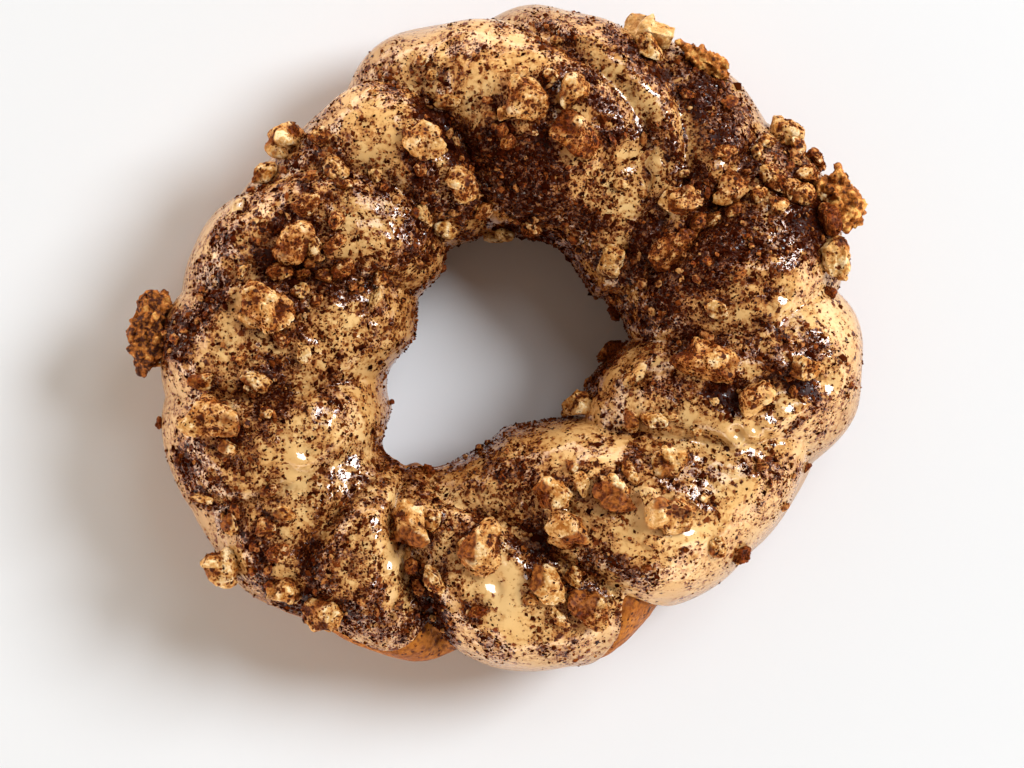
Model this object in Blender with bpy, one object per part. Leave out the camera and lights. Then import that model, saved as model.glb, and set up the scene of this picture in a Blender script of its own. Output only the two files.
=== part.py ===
"""A glazed churro doughnut: one twisted ring of fried dough, with chopped nuts and crumbs on it.

The ring is thirteen soft lobes, parted by creases that cross the tube on a slant. The origin is
on the surface that the doughnut rests on, in the middle of its box. X runs to the right of the
hole and Y away from the viewer, looking down. The tables are in millimetres and degrees.
"""
import math
import random
from collections import namedtuple

import bmesh
import bpy
from mathutils import Matrix, Vector, noise

MM = 0.001
TURN = 360.0

# The ring as a whole
RING_MIDDLE = (0.43, -1.06)     # the point that the angles and reaches below are measured from
TUBE_MIDDLE = 13.0             # height of the tube's widest level
UNDERSIDE = 13.6               # widest level to the lowest point, before it is pressed flat
SQUARENESS = 2.3               # of the tube's section: 2 is an ellipse
LUMP_SIZE = 9.0                # of the unevenness that lies over the lobes
LUMP_HEIGHT = 0.7
UNDERSIDE_CREASE = 1.3         # depth of a crease below the tube
LOBE_ROUNDNESS = 2.6           # a higher number makes flatter lobes with narrower creases
NARROW_LOBE = 9.0              # a lobe narrower than this stands less high between its creases

# Each lobe starts at its crease. The crease's angle round the ring, anticlockwise from +X, is
# given at five stations over the tube: rim, shoulder, top, inner shoulder and hole. Its depth is
# given at the rim, the top and the hole. Then the lobe's own reach from the ring's middle at the
# rim and at the hole, and the height of its crest.
Lobe = namedtuple("Lobe", "angles depths rim hole crest")
LOBES = (
    Lobe((9, 9, 3, 1, 3), (3.4, 2.2, 2.0), 51.2, 17.0, 27.0),
    Lobe((40, 38, 31, 23, 19), (1.6, 3.2, 1.0), 49.8, 15.1, 25.5),
    Lobe((69, 58, 40, 30, 26), (1.2, 2.4, 0.6), 48.0, 13.8, 25.0),
    Lobe((92, 80, 50, 36, 32), (1.8, 2.4, 0.6), 45.7, 15.8, 27.5),
    Lobe((123, 112, 102, 97, 97), (2.6, 3.4, 1.2), 41.0, 14.9, 26.5),
    Lobe((150, 140, 125, 119, 119), (1.2, 2.4, 1.4), 44.8, 12.7, 27.0),
    Lobe((171, 169, 160, 152, 150), (1.0, 2.0, 0.8), 47.9, 12.3, 26.0),
    Lobe((189, 190, 193, 194, 196), (1.0, 2.2, 0.6), 49.3, 17.8, 26.5),
    Lobe((208, 211, 214, 218, 220), (0.4, 1.8, 0.6), 49.6, 21.3, 26.0),
    Lobe((232, 229, 226, 226, 227), (0.2, 2.6, 0.8), 46.4, 20.6, 27.5),
    Lobe((262, 254, 245, 236, 232), (3.0, 6.5, 1.4), 46.2, 19.3, 26.0),
    Lobe((301, 297, 281, 249, 238), (3.6, 3.6, 1.0), 45.9, 11.4, 28.5),
    Lobe((339, 342, 334, 322, 317), (2.4, 3.2, 1.6), 51.2, 13.2, 27.5),
)
STATIONS = 8                   # round the whole tube, 45 degrees apart

# The ring's mesh
ROWS = 23                      # round the tube
LOBE_COLUMNS = 8               # along each lobe

CLEARANCE = 0.35               # between a nut and the ring under it
SUNK = 0.3                     # how much of a nut's height is below the ring's surface
NORMAL_STEP = 2.0              # degrees between the points that give the surface's slope

DOUGH_COLOUR = (0.44, 0.215, 0.075)
NUT_COLOUR = (0.62, 0.33, 0.12)
CRUMB_COLOUR = (0.20, 0.065, 0.015)

# Nuts and crumbs: place by degrees round the ring and over the tube, size along, across and
# through, the long side's direction seen from above, and the seed of the broken shape.
Piece = namedtuple("Piece", "name around over length width height heading seed")
NUTS = (
    Piece("nut_01", 171, 80, 10.4, 6.1, 5.0, -48, 11),
    Piece("nut_02", 195, 61, 9.4, 6.2, 5.5, -5, 12),
    Piece("nut_03", 111, 90, 6.4, 4.5, 4.2, -45, 13),
    Piece("nut_04", 104, 118, 5.6, 4.0, 4.0, -60, 14),
    Piece("nut_05", 84, 84, 7.0, 5.8, 4.5, -60, 15),
    Piece("nut_06", 74, 78, 5.4, 4.0, 4.0, 80, 16),
    Piece("nut_07", 70, 95, 7.5, 6.0, 4.5, -50, 17),
    Piece("nut_08", 64, 20, 8.0, 5.0, 5.0, -55, 18),
    Piece("nut_09", 35, 71, 6.2, 5.2, 4.5, 60, 19),
    Piece("nut_10", 37, 90, 5.6, 4.8, 4.2, 20, 20),
    Piece("nut_11", 30, 107, 7.0, 4.0, 3.6, 50, 21),
    Piece("nut_12", 37, 136, 6.6, 3.2, 3.4, 68, 22),
    Piece("nut_13", 36, 15, 5.4, 4.0, 3.8, -10, 23),
    Piece("nut_14", 15, 37, 6.0, 4.8, 4.6, -60, 24),
    Piece("nut_15", 354, 100, 10.8, 5.3, 4.2, -15, 25),
    Piece("nut_16", 348, 81, 5.6, 5.0, 4.6, 30, 26),
    Piece("nut_17", 323, 165, 4.8, 4.0, 4.2, 0, 27),
    Piece("nut_18", 289, 112, 6.6, 4.2, 4.0, -50, 28),
    Piece("nut_19", 290, 94, 6.4, 5.0, 4.5, -55, 29),
    Piece("nut_20", 308, 100, 7.5, 4.8, 4.5, -55, 30),
    Piece("nut_21", 325, 93, 5.2, 3.8, 3.6, 15, 31),
    Piece("nut_22", 316, 78, 7.0, 4.5, 4.0, -10, 32),
    Piece("nut_23", 266, 93, 8.4, 6.2, 5.2, 40, 33),
    Piece("nut_24", 245, 110, 6.8, 5.8, 5.0, 30, 34),
    Piece("nut_25", 280, 75, 6.4, 4.2, 4.0, -50, 35),
    Piece("nut_26", 288, 55, 6.6, 5.2, 4.5, -30, 36),
    Piece("nut_27", 219, 27, 6.4, 5.6, 5.0, 40, 37),
    Piece("nut_28", 229, 43, 5.4, 4.4, 4.6, 20, 38),
    Piece("nut_29", 237, 44, 6.4, 4.8, 4.6, 30, 39),
    Piece("nut_30", 153, 81, 6.6, 5.5, 4.2, 20, 40),
    Piece("nut_31", 136, 18, 6.0, 4.2, 4.6, -60, 41),
)
CRUMBS = (
    Piece("crumb_left", 178, 8, 12.4, 7.0, 7.0, 88, 51),
    Piece("crumb_right", 23, 22, 9.8, 7.0, 7.0, -75, 52),
    Piece("crumb_top", 54, 29, 9.4, 4.0, 3.8, -15, 53),
)
NUT_DETAIL = 2                 # subdivisions of the ball that a nut is cut from
CRUMB_DETAIL = 3
CHOPS = 7                      # flat sides that the knife leaves on a nut
CHOP_DEPTH = (0.58, 0.86)      # of the ball's radius
ROUGHNESS = 0.10               # of a nut's faces, in ball radii
KNOBS = 0.42                   # of a crumb's lumps, in ball radii
KNOB_SIZE = 0.55


def clear_scene():
    """Start from an empty scene."""
    for leftover in list(bpy.data.objects):
        bpy.data.objects.remove(leftover)


def new_collection(name):
    """A collection linked under the scene's own."""
    collection = bpy.data.collections.new(name)
    bpy.context.scene.collection.children.link(collection)
    return collection


def new_material(name, colour, roughness):
    """A plain Principled material."""
    material = bpy.data.materials.new(name)
    material.use_nodes = True
    shader = material.node_tree.nodes["Principled BSDF"]
    shader.inputs["Base Color"].default_value = (*colour, 1.0)
    shader.inputs["Roughness"].default_value = roughness
    shader.inputs["Metallic"].default_value = 0.0
    return material


def object_from_bmesh(name, shape, collection, material=None):
    """Turn a bmesh into a named object."""
    mesh = bpy.data.meshes.new(name)
    shape.to_mesh(mesh)
    shape.free()
    made = bpy.data.objects.new(name, mesh)
    collection.objects.link(made)
    if material:
        mesh.materials.append(material)
    return made


# ---------------------------------------------------------------- the ring's surface

def angle_table():
    """Each crease's angle at the eight stations, led on below the tube to the rim before it."""
    table = []
    for index, lobe in enumerate(LOBES):
        before = LOBES[index - 1].angles[0] - (TURN if index == 0 else 0.0)
        hole = lobe.angles[-1]
        below = [hole + (before - hole) * part / 4 for part in (1, 2, 3)]
        table.append([*lobe.angles, *below])
    return table


def depth_table():
    """Each crease's depth at the eight stations."""
    table = []
    for index, lobe in enumerate(LOBES):
        rim, top, hole = lobe.depths
        ends = [rim, top, hole, UNDERSIDE_CREASE, LOBES[index - 1].depths[0]]
        table.append([value for start, end in zip(ends, ends[1:])
                      for value in (start, (start + end) / 2)])
    return table


ANGLES = angle_table()
DEPTHS = depth_table()


def smooth_value(crease, over, table, turn=0.0):
    """A table's value at `over` degrees round the tube, on a smooth curve through its stations.

    One turn round the tube leads on to the crease before, so the creases run in a spiral.
    """
    place = over / TURN * STATIONS
    first = math.floor(place)
    part = place - first
    values = []
    for station in range(first - 1, first + 3):
        laps, column = divmod(station, STATIONS)
        turns, row = divmod(crease - laps, len(LOBES))
        values.append(table[row][column] + turns * turn)
    before, start, end, after = values
    return start + 0.5 * part * (end - before + part * (
        2 * before - 5 * start + 4 * end - after + part * (3 * (start - end) + after - before)))


def crease_angles(over):
    """Where the creases are at `over` degrees round the tube, with the first one again at the end."""
    return [smooth_value(crease, over, ANGLES, TURN) for crease in range(len(LOBES) + 1)]


def lobe_middles(station):
    """Each lobe's middle angle at one station."""
    starts = [lobe.angles[station] for lobe in LOBES]
    ends = [*starts[1:], starts[0] + TURN]
    return [(start + end) / 2 for start, end in zip(starts, ends)]


RIM_MIDDLES = lobe_middles(0)
TOP_MIDDLES = lobe_middles(2)
HOLE_MIDDLES = lobe_middles(4)


def blend_lobes(angle, middles, values):
    """A value for each lobe, carried smoothly round the ring from one lobe's middle to the next."""
    angle = middles[0] + (angle - middles[0]) % TURN
    index = max(i for i, middle in enumerate(middles) if middle <= angle)
    following = (index + 1) % len(values)
    ahead = [*middles, middles[0] + TURN][index + 1]
    part = (angle - middles[index]) / (ahead - middles[index])
    part = part * part * (3 - 2 * part)
    return values[index] + (values[following] - values[index]) * part


def groove_depth(angle, over, distance):
    """How far the surface lies below the lobes' crests, from the creases on either side."""
    creases = crease_angles(over)
    angle = creases[0] + (angle - creases[0]) % TURN
    index = max(i for i, crease in enumerate(creases[:-1]) if crease <= angle)
    width = creases[index + 1] - creases[index]
    part = (angle - creases[index]) / width
    start, end = (smooth_value(index + side, over, DEPTHS) for side in (0, 1))
    sunk = max(0.0, 1 - math.radians(width) * distance / NARROW_LOBE)
    return (start + (end - start) * part) * (sunk + (1 - sunk) * abs(2 * part - 1) ** LOBE_ROUNDNESS)


def rounded(wave):
    """A sine or cosine pushed outwards, which makes the section squarer."""
    return math.copysign(abs(wave) ** (2 / SQUARENESS), wave)


def ring_point(angle, over, grow=0.0):
    """The surface, `angle` degrees round the ring and `over` degrees round the tube."""
    rim = blend_lobes(angle, RIM_MIDDLES, [lobe.rim for lobe in LOBES])
    hole = blend_lobes(angle, HOLE_MIDDLES, [lobe.hole for lobe in LOBES])
    crest = blend_lobes(angle, TOP_MIDDLES, [lobe.crest for lobe in LOBES])
    middle = (rim + hole) / 2
    sine = math.sin(math.radians(over))
    across = rounded(math.cos(math.radians(over))) * (rim - hole) / 2
    upward = rounded(sine) * (crest - TUBE_MIDDLE if sine > 0 else UNDERSIDE)
    outward = Vector((math.cos(math.radians(angle)), math.sin(math.radians(angle)), 0.0))
    lump = noise.noise((outward * (middle + across) + Vector((0.0, 0.0, upward))) / LUMP_SIZE)
    reach = math.hypot(across, upward)
    scale = (reach - groove_depth(angle, over, middle + across) + LUMP_HEIGHT * lump + grow) / reach
    point = Vector((*RING_MIDDLE, 0.0)) + outward * (middle + across * scale)
    point.z = max(TUBE_MIDDLE + upward * scale, -grow)
    return point


def build_ring(name, collection, material=None, grow=0.0):
    """A loft whose columns follow the creases, one turn of the tube leading on to the lobe before."""
    shape = bmesh.new()
    total = LOBE_COLUMNS * len(LOBES)
    grid = []
    for row in range(ROWS):
        over = TURN * row / ROWS
        creases = crease_angles(over)
        line = []
        for column in range(total):
            lobe, part = divmod(column, LOBE_COLUMNS)
            angle = creases[lobe] + (creases[lobe + 1] - creases[lobe]) * part / LOBE_COLUMNS
            line.append(shape.verts.new(ring_point(angle, over, grow) * MM))
        grid.append(line)
    grid.append(grid[0][-LOBE_COLUMNS:] + grid[0][:-LOBE_COLUMNS])
    for below, above in zip(grid, grid[1:]):
        for column in range(total):
            after = (column + 1) % total
            shape.faces.new((below[column], below[after], above[after], above[column]))
    bmesh.ops.triangulate(shape, faces=shape.faces[:])
    return object_from_bmesh(name, shape, collection, material)


# ---------------------------------------------------------------- nuts and crumbs

def ring_frame(piece):
    """A piece's place on the ring: +X along its long side and +Z straight out of the surface."""
    point = ring_point(piece.around, piece.over)
    along = (ring_point(piece.around + NORMAL_STEP, piece.over)
             - ring_point(piece.around - NORMAL_STEP, piece.over))
    over = (ring_point(piece.around, piece.over + NORMAL_STEP)
            - ring_point(piece.around, piece.over - NORMAL_STEP))
    outward = along.cross(over).normalized()
    heading = math.radians(piece.heading)
    side = outward.cross(Vector((math.cos(heading), math.sin(heading), 0.0))).normalized()
    axes = Matrix((side.cross(outward), side, outward)).transposed().to_4x4()
    lift = Matrix.Translation((0.0, 0.0, piece.height * (0.5 - SUNK)))
    return Matrix.Scale(MM, 4) @ Matrix.Translation(point) @ axes @ lift


def chop(shape, rng):
    """Press a ball flat on a few sides, as a knife leaves a nut."""
    for _ in range(CHOPS):
        normal = Vector(rng.gauss(0.0, 1.0) for _ in range(3)).normalized()
        depth = rng.uniform(*CHOP_DEPTH)
        for vertex in shape.verts:
            beyond = vertex.co.dot(normal) - depth
            if beyond > 0:
                vertex.co -= normal * beyond * (1 - ROUGHNESS)


def roughen(shape, rng, size, height):
    """Push a ball's surface in and out by smooth noise."""
    place = Vector(rng.uniform(0.0, 100.0) for _ in range(3))
    for vertex in shape.verts:
        vertex.co *= 1 + height * noise.noise(vertex.co / size + place)


def build_piece(piece, broken, collection, material, cutter):
    """A nut or crumb sitting in the ring's surface, cut where the ring is."""
    rng = random.Random(piece.seed)
    shape = bmesh.new()
    bmesh.ops.create_icosphere(shape, subdivisions=NUT_DETAIL if broken else CRUMB_DETAIL, radius=1.0)
    if broken:
        chop(shape, rng)
        roughen(shape, rng, 1.0, ROUGHNESS)
    else:
        roughen(shape, rng, KNOB_SIZE, KNOBS)
    spans = [max(v.co[axis] for v in shape.verts) - min(v.co[axis] for v in shape.verts)
             for axis in range(3)]
    sizes = [piece.length, piece.width, piece.height]
    bmesh.ops.scale(shape, vec=[size / span for size, span in zip(sizes, spans)], verts=shape.verts)
    bmesh.ops.transform(shape, matrix=ring_frame(piece), verts=shape.verts)
    made = object_from_bmesh(piece.name, shape, collection, material)
    cut = made.modifiers.new("seat", 'BOOLEAN')
    cut.operation = 'DIFFERENCE'
    cut.object = cutter
    return made


def main():
    """Build the whole doughnut."""
    clear_scene()
    parts = new_collection("churro_doughnut")
    cutters = new_collection("cutters")
    dough = new_material("fried_dough", DOUGH_COLOUR, 0.45)
    nut = new_material("chopped_nut", NUT_COLOUR, 0.55)
    crumb = new_material("dark_crumb", CRUMB_COLOUR, 0.7)

    build_ring("doughnut", parts, dough)
    seat = build_ring("ring_clearance", cutters, grow=CLEARANCE)
    seat.hide_render = True
    seat.display_type = 'WIRE'
    for piece in NUTS:
        build_piece(piece, True, parts, nut, seat)
    for piece in CRUMBS:
        build_piece(piece, False, parts, crumb, seat)


if __name__ == "__main__":
    main()
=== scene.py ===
"""The looks of a glazed churro doughnut: fried dough, poured glaze, chopped nuts, crumbs and spice.

Sizes are in millimetres and angles in degrees, and `MM` turns a finished mesh into metres. A place
seen in the photograph is given in pixels of its 1024 x 768 frame, and put on the surface from there.
"""

import math
from collections import namedtuple

import bmesh
import bpy
import numpy as np
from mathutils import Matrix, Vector, noise
from mathutils.bvhtree import BVHTree


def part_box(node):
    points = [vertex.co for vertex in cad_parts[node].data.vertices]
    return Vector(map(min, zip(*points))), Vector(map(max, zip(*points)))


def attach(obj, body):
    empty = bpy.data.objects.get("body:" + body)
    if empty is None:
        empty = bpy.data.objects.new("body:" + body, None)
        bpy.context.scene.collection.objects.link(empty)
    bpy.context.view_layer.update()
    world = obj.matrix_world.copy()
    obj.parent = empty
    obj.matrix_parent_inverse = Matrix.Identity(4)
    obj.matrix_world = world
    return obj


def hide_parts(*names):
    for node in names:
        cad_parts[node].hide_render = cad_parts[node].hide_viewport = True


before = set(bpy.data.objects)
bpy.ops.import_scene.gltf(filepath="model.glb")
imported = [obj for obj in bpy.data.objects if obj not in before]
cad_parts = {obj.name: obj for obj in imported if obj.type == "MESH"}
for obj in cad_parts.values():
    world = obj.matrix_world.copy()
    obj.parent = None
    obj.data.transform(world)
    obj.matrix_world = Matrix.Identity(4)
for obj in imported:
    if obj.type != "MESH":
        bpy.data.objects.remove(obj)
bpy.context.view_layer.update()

MM = 0.001
TURN = 360.0
BODY = "root"

# ---------------------------------------------------------------- camera and light

PHOTO_SIZE = (1024, 768)
CAMERA_HEIGHT = 600.0
CAMERA_OVER = (2.12, -6.55)         # the point that the camera looks straight down on
LENS = 146.6
SENSOR = 36.0
PIXELS = PHOTO_SIZE[0] * LENS / SENSOR
PIXEL = 0.14                        # what a pixel covers at the doughnut's height

KEY_HEADING = 22.0                  # where the light stands, anticlockwise from +X
KEY_HEIGHT = 42.0                   # degrees above the floor
KEY_SIZE = 1080.0
KEY_POWER = 63.0
FILL_HEADING = 57.0                 # a weaker light, higher up
FILL_HEIGHT = 58.0
FILL_SIZE = 900.0
FILL_POWER = 8.2
LAMP_DISTANCE = 2500.0
LAMP_COLOUR = (0.875, 0.94, 1.0)
SKY = (1.0, 0.88, 0.75)
SKY_LOW = 8.4                       # the sky's strength at the horizon and overhead
SKY_HIGH = 0.25
SKY_FADE = (0.0, 0.38)              # of the way up, where it starts and ends to fade
SKY_HEADING = 180.0                 # where the sky is at its brightest
SKY_BEHIND = 0.5                    # its share opposite
FLOOR_COLOUR = (0.86, 0.86, 0.865)
FLOOR_SIZE = 3000.0

# ---------------------------------------------------------------- the ring, as in the frame

RING_MIDDLE = (0.43, -1.06)
TUBE_MIDDLE = 13.0
UNDERSIDE = 13.6
SQUARENESS = 2.3
LUMP_SIZE = 9.0
LUMP_HEIGHT = 0.7
UNDERSIDE_CREASE = 1.3
LOBE_ROUNDNESS = 2.6
NARROW_LOBE = 9.0
STATIONS = 8                        # round the whole tube, 45 degrees apart
STATION = TURN / STATIONS

# Each lobe starts at its crease, whose angle round the ring is given at rim, shoulder, top, inner
# shoulder and hole, and its depth at the rim, top and hole. Then the lobe's reach and its crest.
Lobe = namedtuple("Lobe", "angles depths rim hole crest")
LOBES = (
    Lobe((9, 9, 3, 1, 3), (3.4, 2.2, 2.0), 51.2, 17.0, 27.0),
    Lobe((40, 38, 31, 23, 19), (1.6, 3.2, 1.0), 49.8, 15.1, 25.5),
    Lobe((69, 58, 40, 30, 26), (1.2, 2.4, 0.6), 48.0, 13.8, 25.0),
    Lobe((92, 80, 50, 36, 32), (1.8, 2.4, 0.6), 45.7, 15.8, 27.5),
    Lobe((123, 112, 102, 97, 97), (2.6, 3.4, 1.2), 41.0, 14.9, 26.5),
    Lobe((150, 140, 125, 119, 119), (1.2, 2.4, 1.4), 44.8, 12.7, 27.0),
    Lobe((171, 169, 160, 152, 150), (1.0, 2.0, 0.8), 47.9, 12.3, 26.0),
    Lobe((189, 190, 193, 194, 196), (1.0, 2.2, 0.6), 49.3, 17.8, 26.5),
    Lobe((208, 211, 214, 218, 220), (0.4, 1.8, 0.6), 49.6, 21.3, 26.0),
    Lobe((232, 229, 226, 226, 227), (0.2, 2.6, 0.8), 46.4, 20.6, 27.5),
    Lobe((262, 254, 245, 236, 232), (3.0, 6.5, 1.4), 46.2, 19.3, 26.0),
    Lobe((301, 297, 281, 249, 238), (3.6, 3.6, 1.0), 45.9, 11.4, 28.5),
    Lobe((339, 342, 334, 322, 317), (2.4, 3.2, 1.6), 51.2, 13.2, 27.5),
)

# ---------------------------------------------------------------- dough and glaze

GLAZE = 0.85                        # how deep the dough lies under the glaze
GLAZE_BACK = 1.2                    # where the glaze's hidden inner side lies
BEAD = 0.25                         # how proud the glaze stands along its edge
BEAD_WIDTH = 4.0                    # degrees over the tube
BEAD_FADE = 16.0
EDGE_WAVE = 3.5                     # unevenness of the glaze's edge, in degrees over the tube
GLAZE_COLUMNS = 640
GLAZE_ROWS = 112
BEAD_ROWS = 7                       # of those, at each edge
BACK_ROWS = 8
DOUGH_COLUMNS = 360
DOUGH_ROWS = 96

# The glaze's edges: angle round the ring and degrees over the tube
OUTER_EDGE = (
    (0, -14), (22, -24), (40, -10), (58, -22), (75, -12), (92, -20), (110, -8), (128, -22),
    (146, -12), (162, -26), (180, -14), (196, -20), (212, -8), (224, -2), (229, 8), (234, 6),
    (240, 17), (246, 19), (251, 21), (254, 33), (257, 44), (260, 28), (264, 4), (272, -8),
    (282, -10), (286, 2), (290, 15), (293, 22), (295.5, 46), (298, 36), (301, 18), (304, 0),
    (310, -14), (320, -20), (334, -10), (348, -22),
)
INNER_EDGE = (
    (0, 206), (30, 198), (55, 210), (85, 202), (110, 212), (140, 200), (165, 208), (190, 198),
    (210, 192), (222, 171), (235, 168), (246, 172), (256, 196), (275, 204), (300, 198), (330, 208),
)

# Bumps and dents of the glazed top: a soft stroke from one pixel to another, its reach in
# pixels and its height in millimetres
Stroke = namedtuple("Stroke", "start end reach amount")
RELIEF = (
    Stroke((715, 397), (760, 390), 13, -0.9),
    Stroke((760, 390), (823, 385), 13, -1.0),
    Stroke((727, 434), (800, 408), 12, 0.8),
    Stroke((806, 466), (756, 455), 12, -0.6),
    Stroke((430, 590), (440, 650), 8, -1.8),
    Stroke((426, 106), (462, 150), 8, -1.2),
)

# Places that catch the light in the photograph, where the glaze is turned to mirror the lamp:
# pixel and reach in pixels
Glint = namedtuple("Glint", "x y reach")
GLINTS = (
    Glint(737, 437, 11), Glint(754, 430, 11), Glint(771, 421, 11), Glint(789, 409, 11),
    Glint(772, 312, 11), Glint(782, 301, 11),
    Glint(660, 162, 12), Glint(826, 340, 9), Glint(667, 533, 10), Glint(688, 533, 10),
    Glint(343, 473, 9), Glint(352, 459, 9), Glint(491, 588, 12), Glint(293, 473, 12),
    Glint(301, 457, 12), Glint(318, 412, 10), Glint(390, 565, 10), Glint(652, 498, 11),
    Glint(640, 121, 10), Glint(829, 390, 7), Glint(564, 512, 10), Glint(624, 94, 9),
    Glint(374, 521, 9), Glint(240, 205, 9),
)
GLINT_FLAT = 1.0                    # how far a glint's surface is drawn to its plane
GLINT_DUST = -0.14                  # added to the spice there, so that less of it lies

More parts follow.
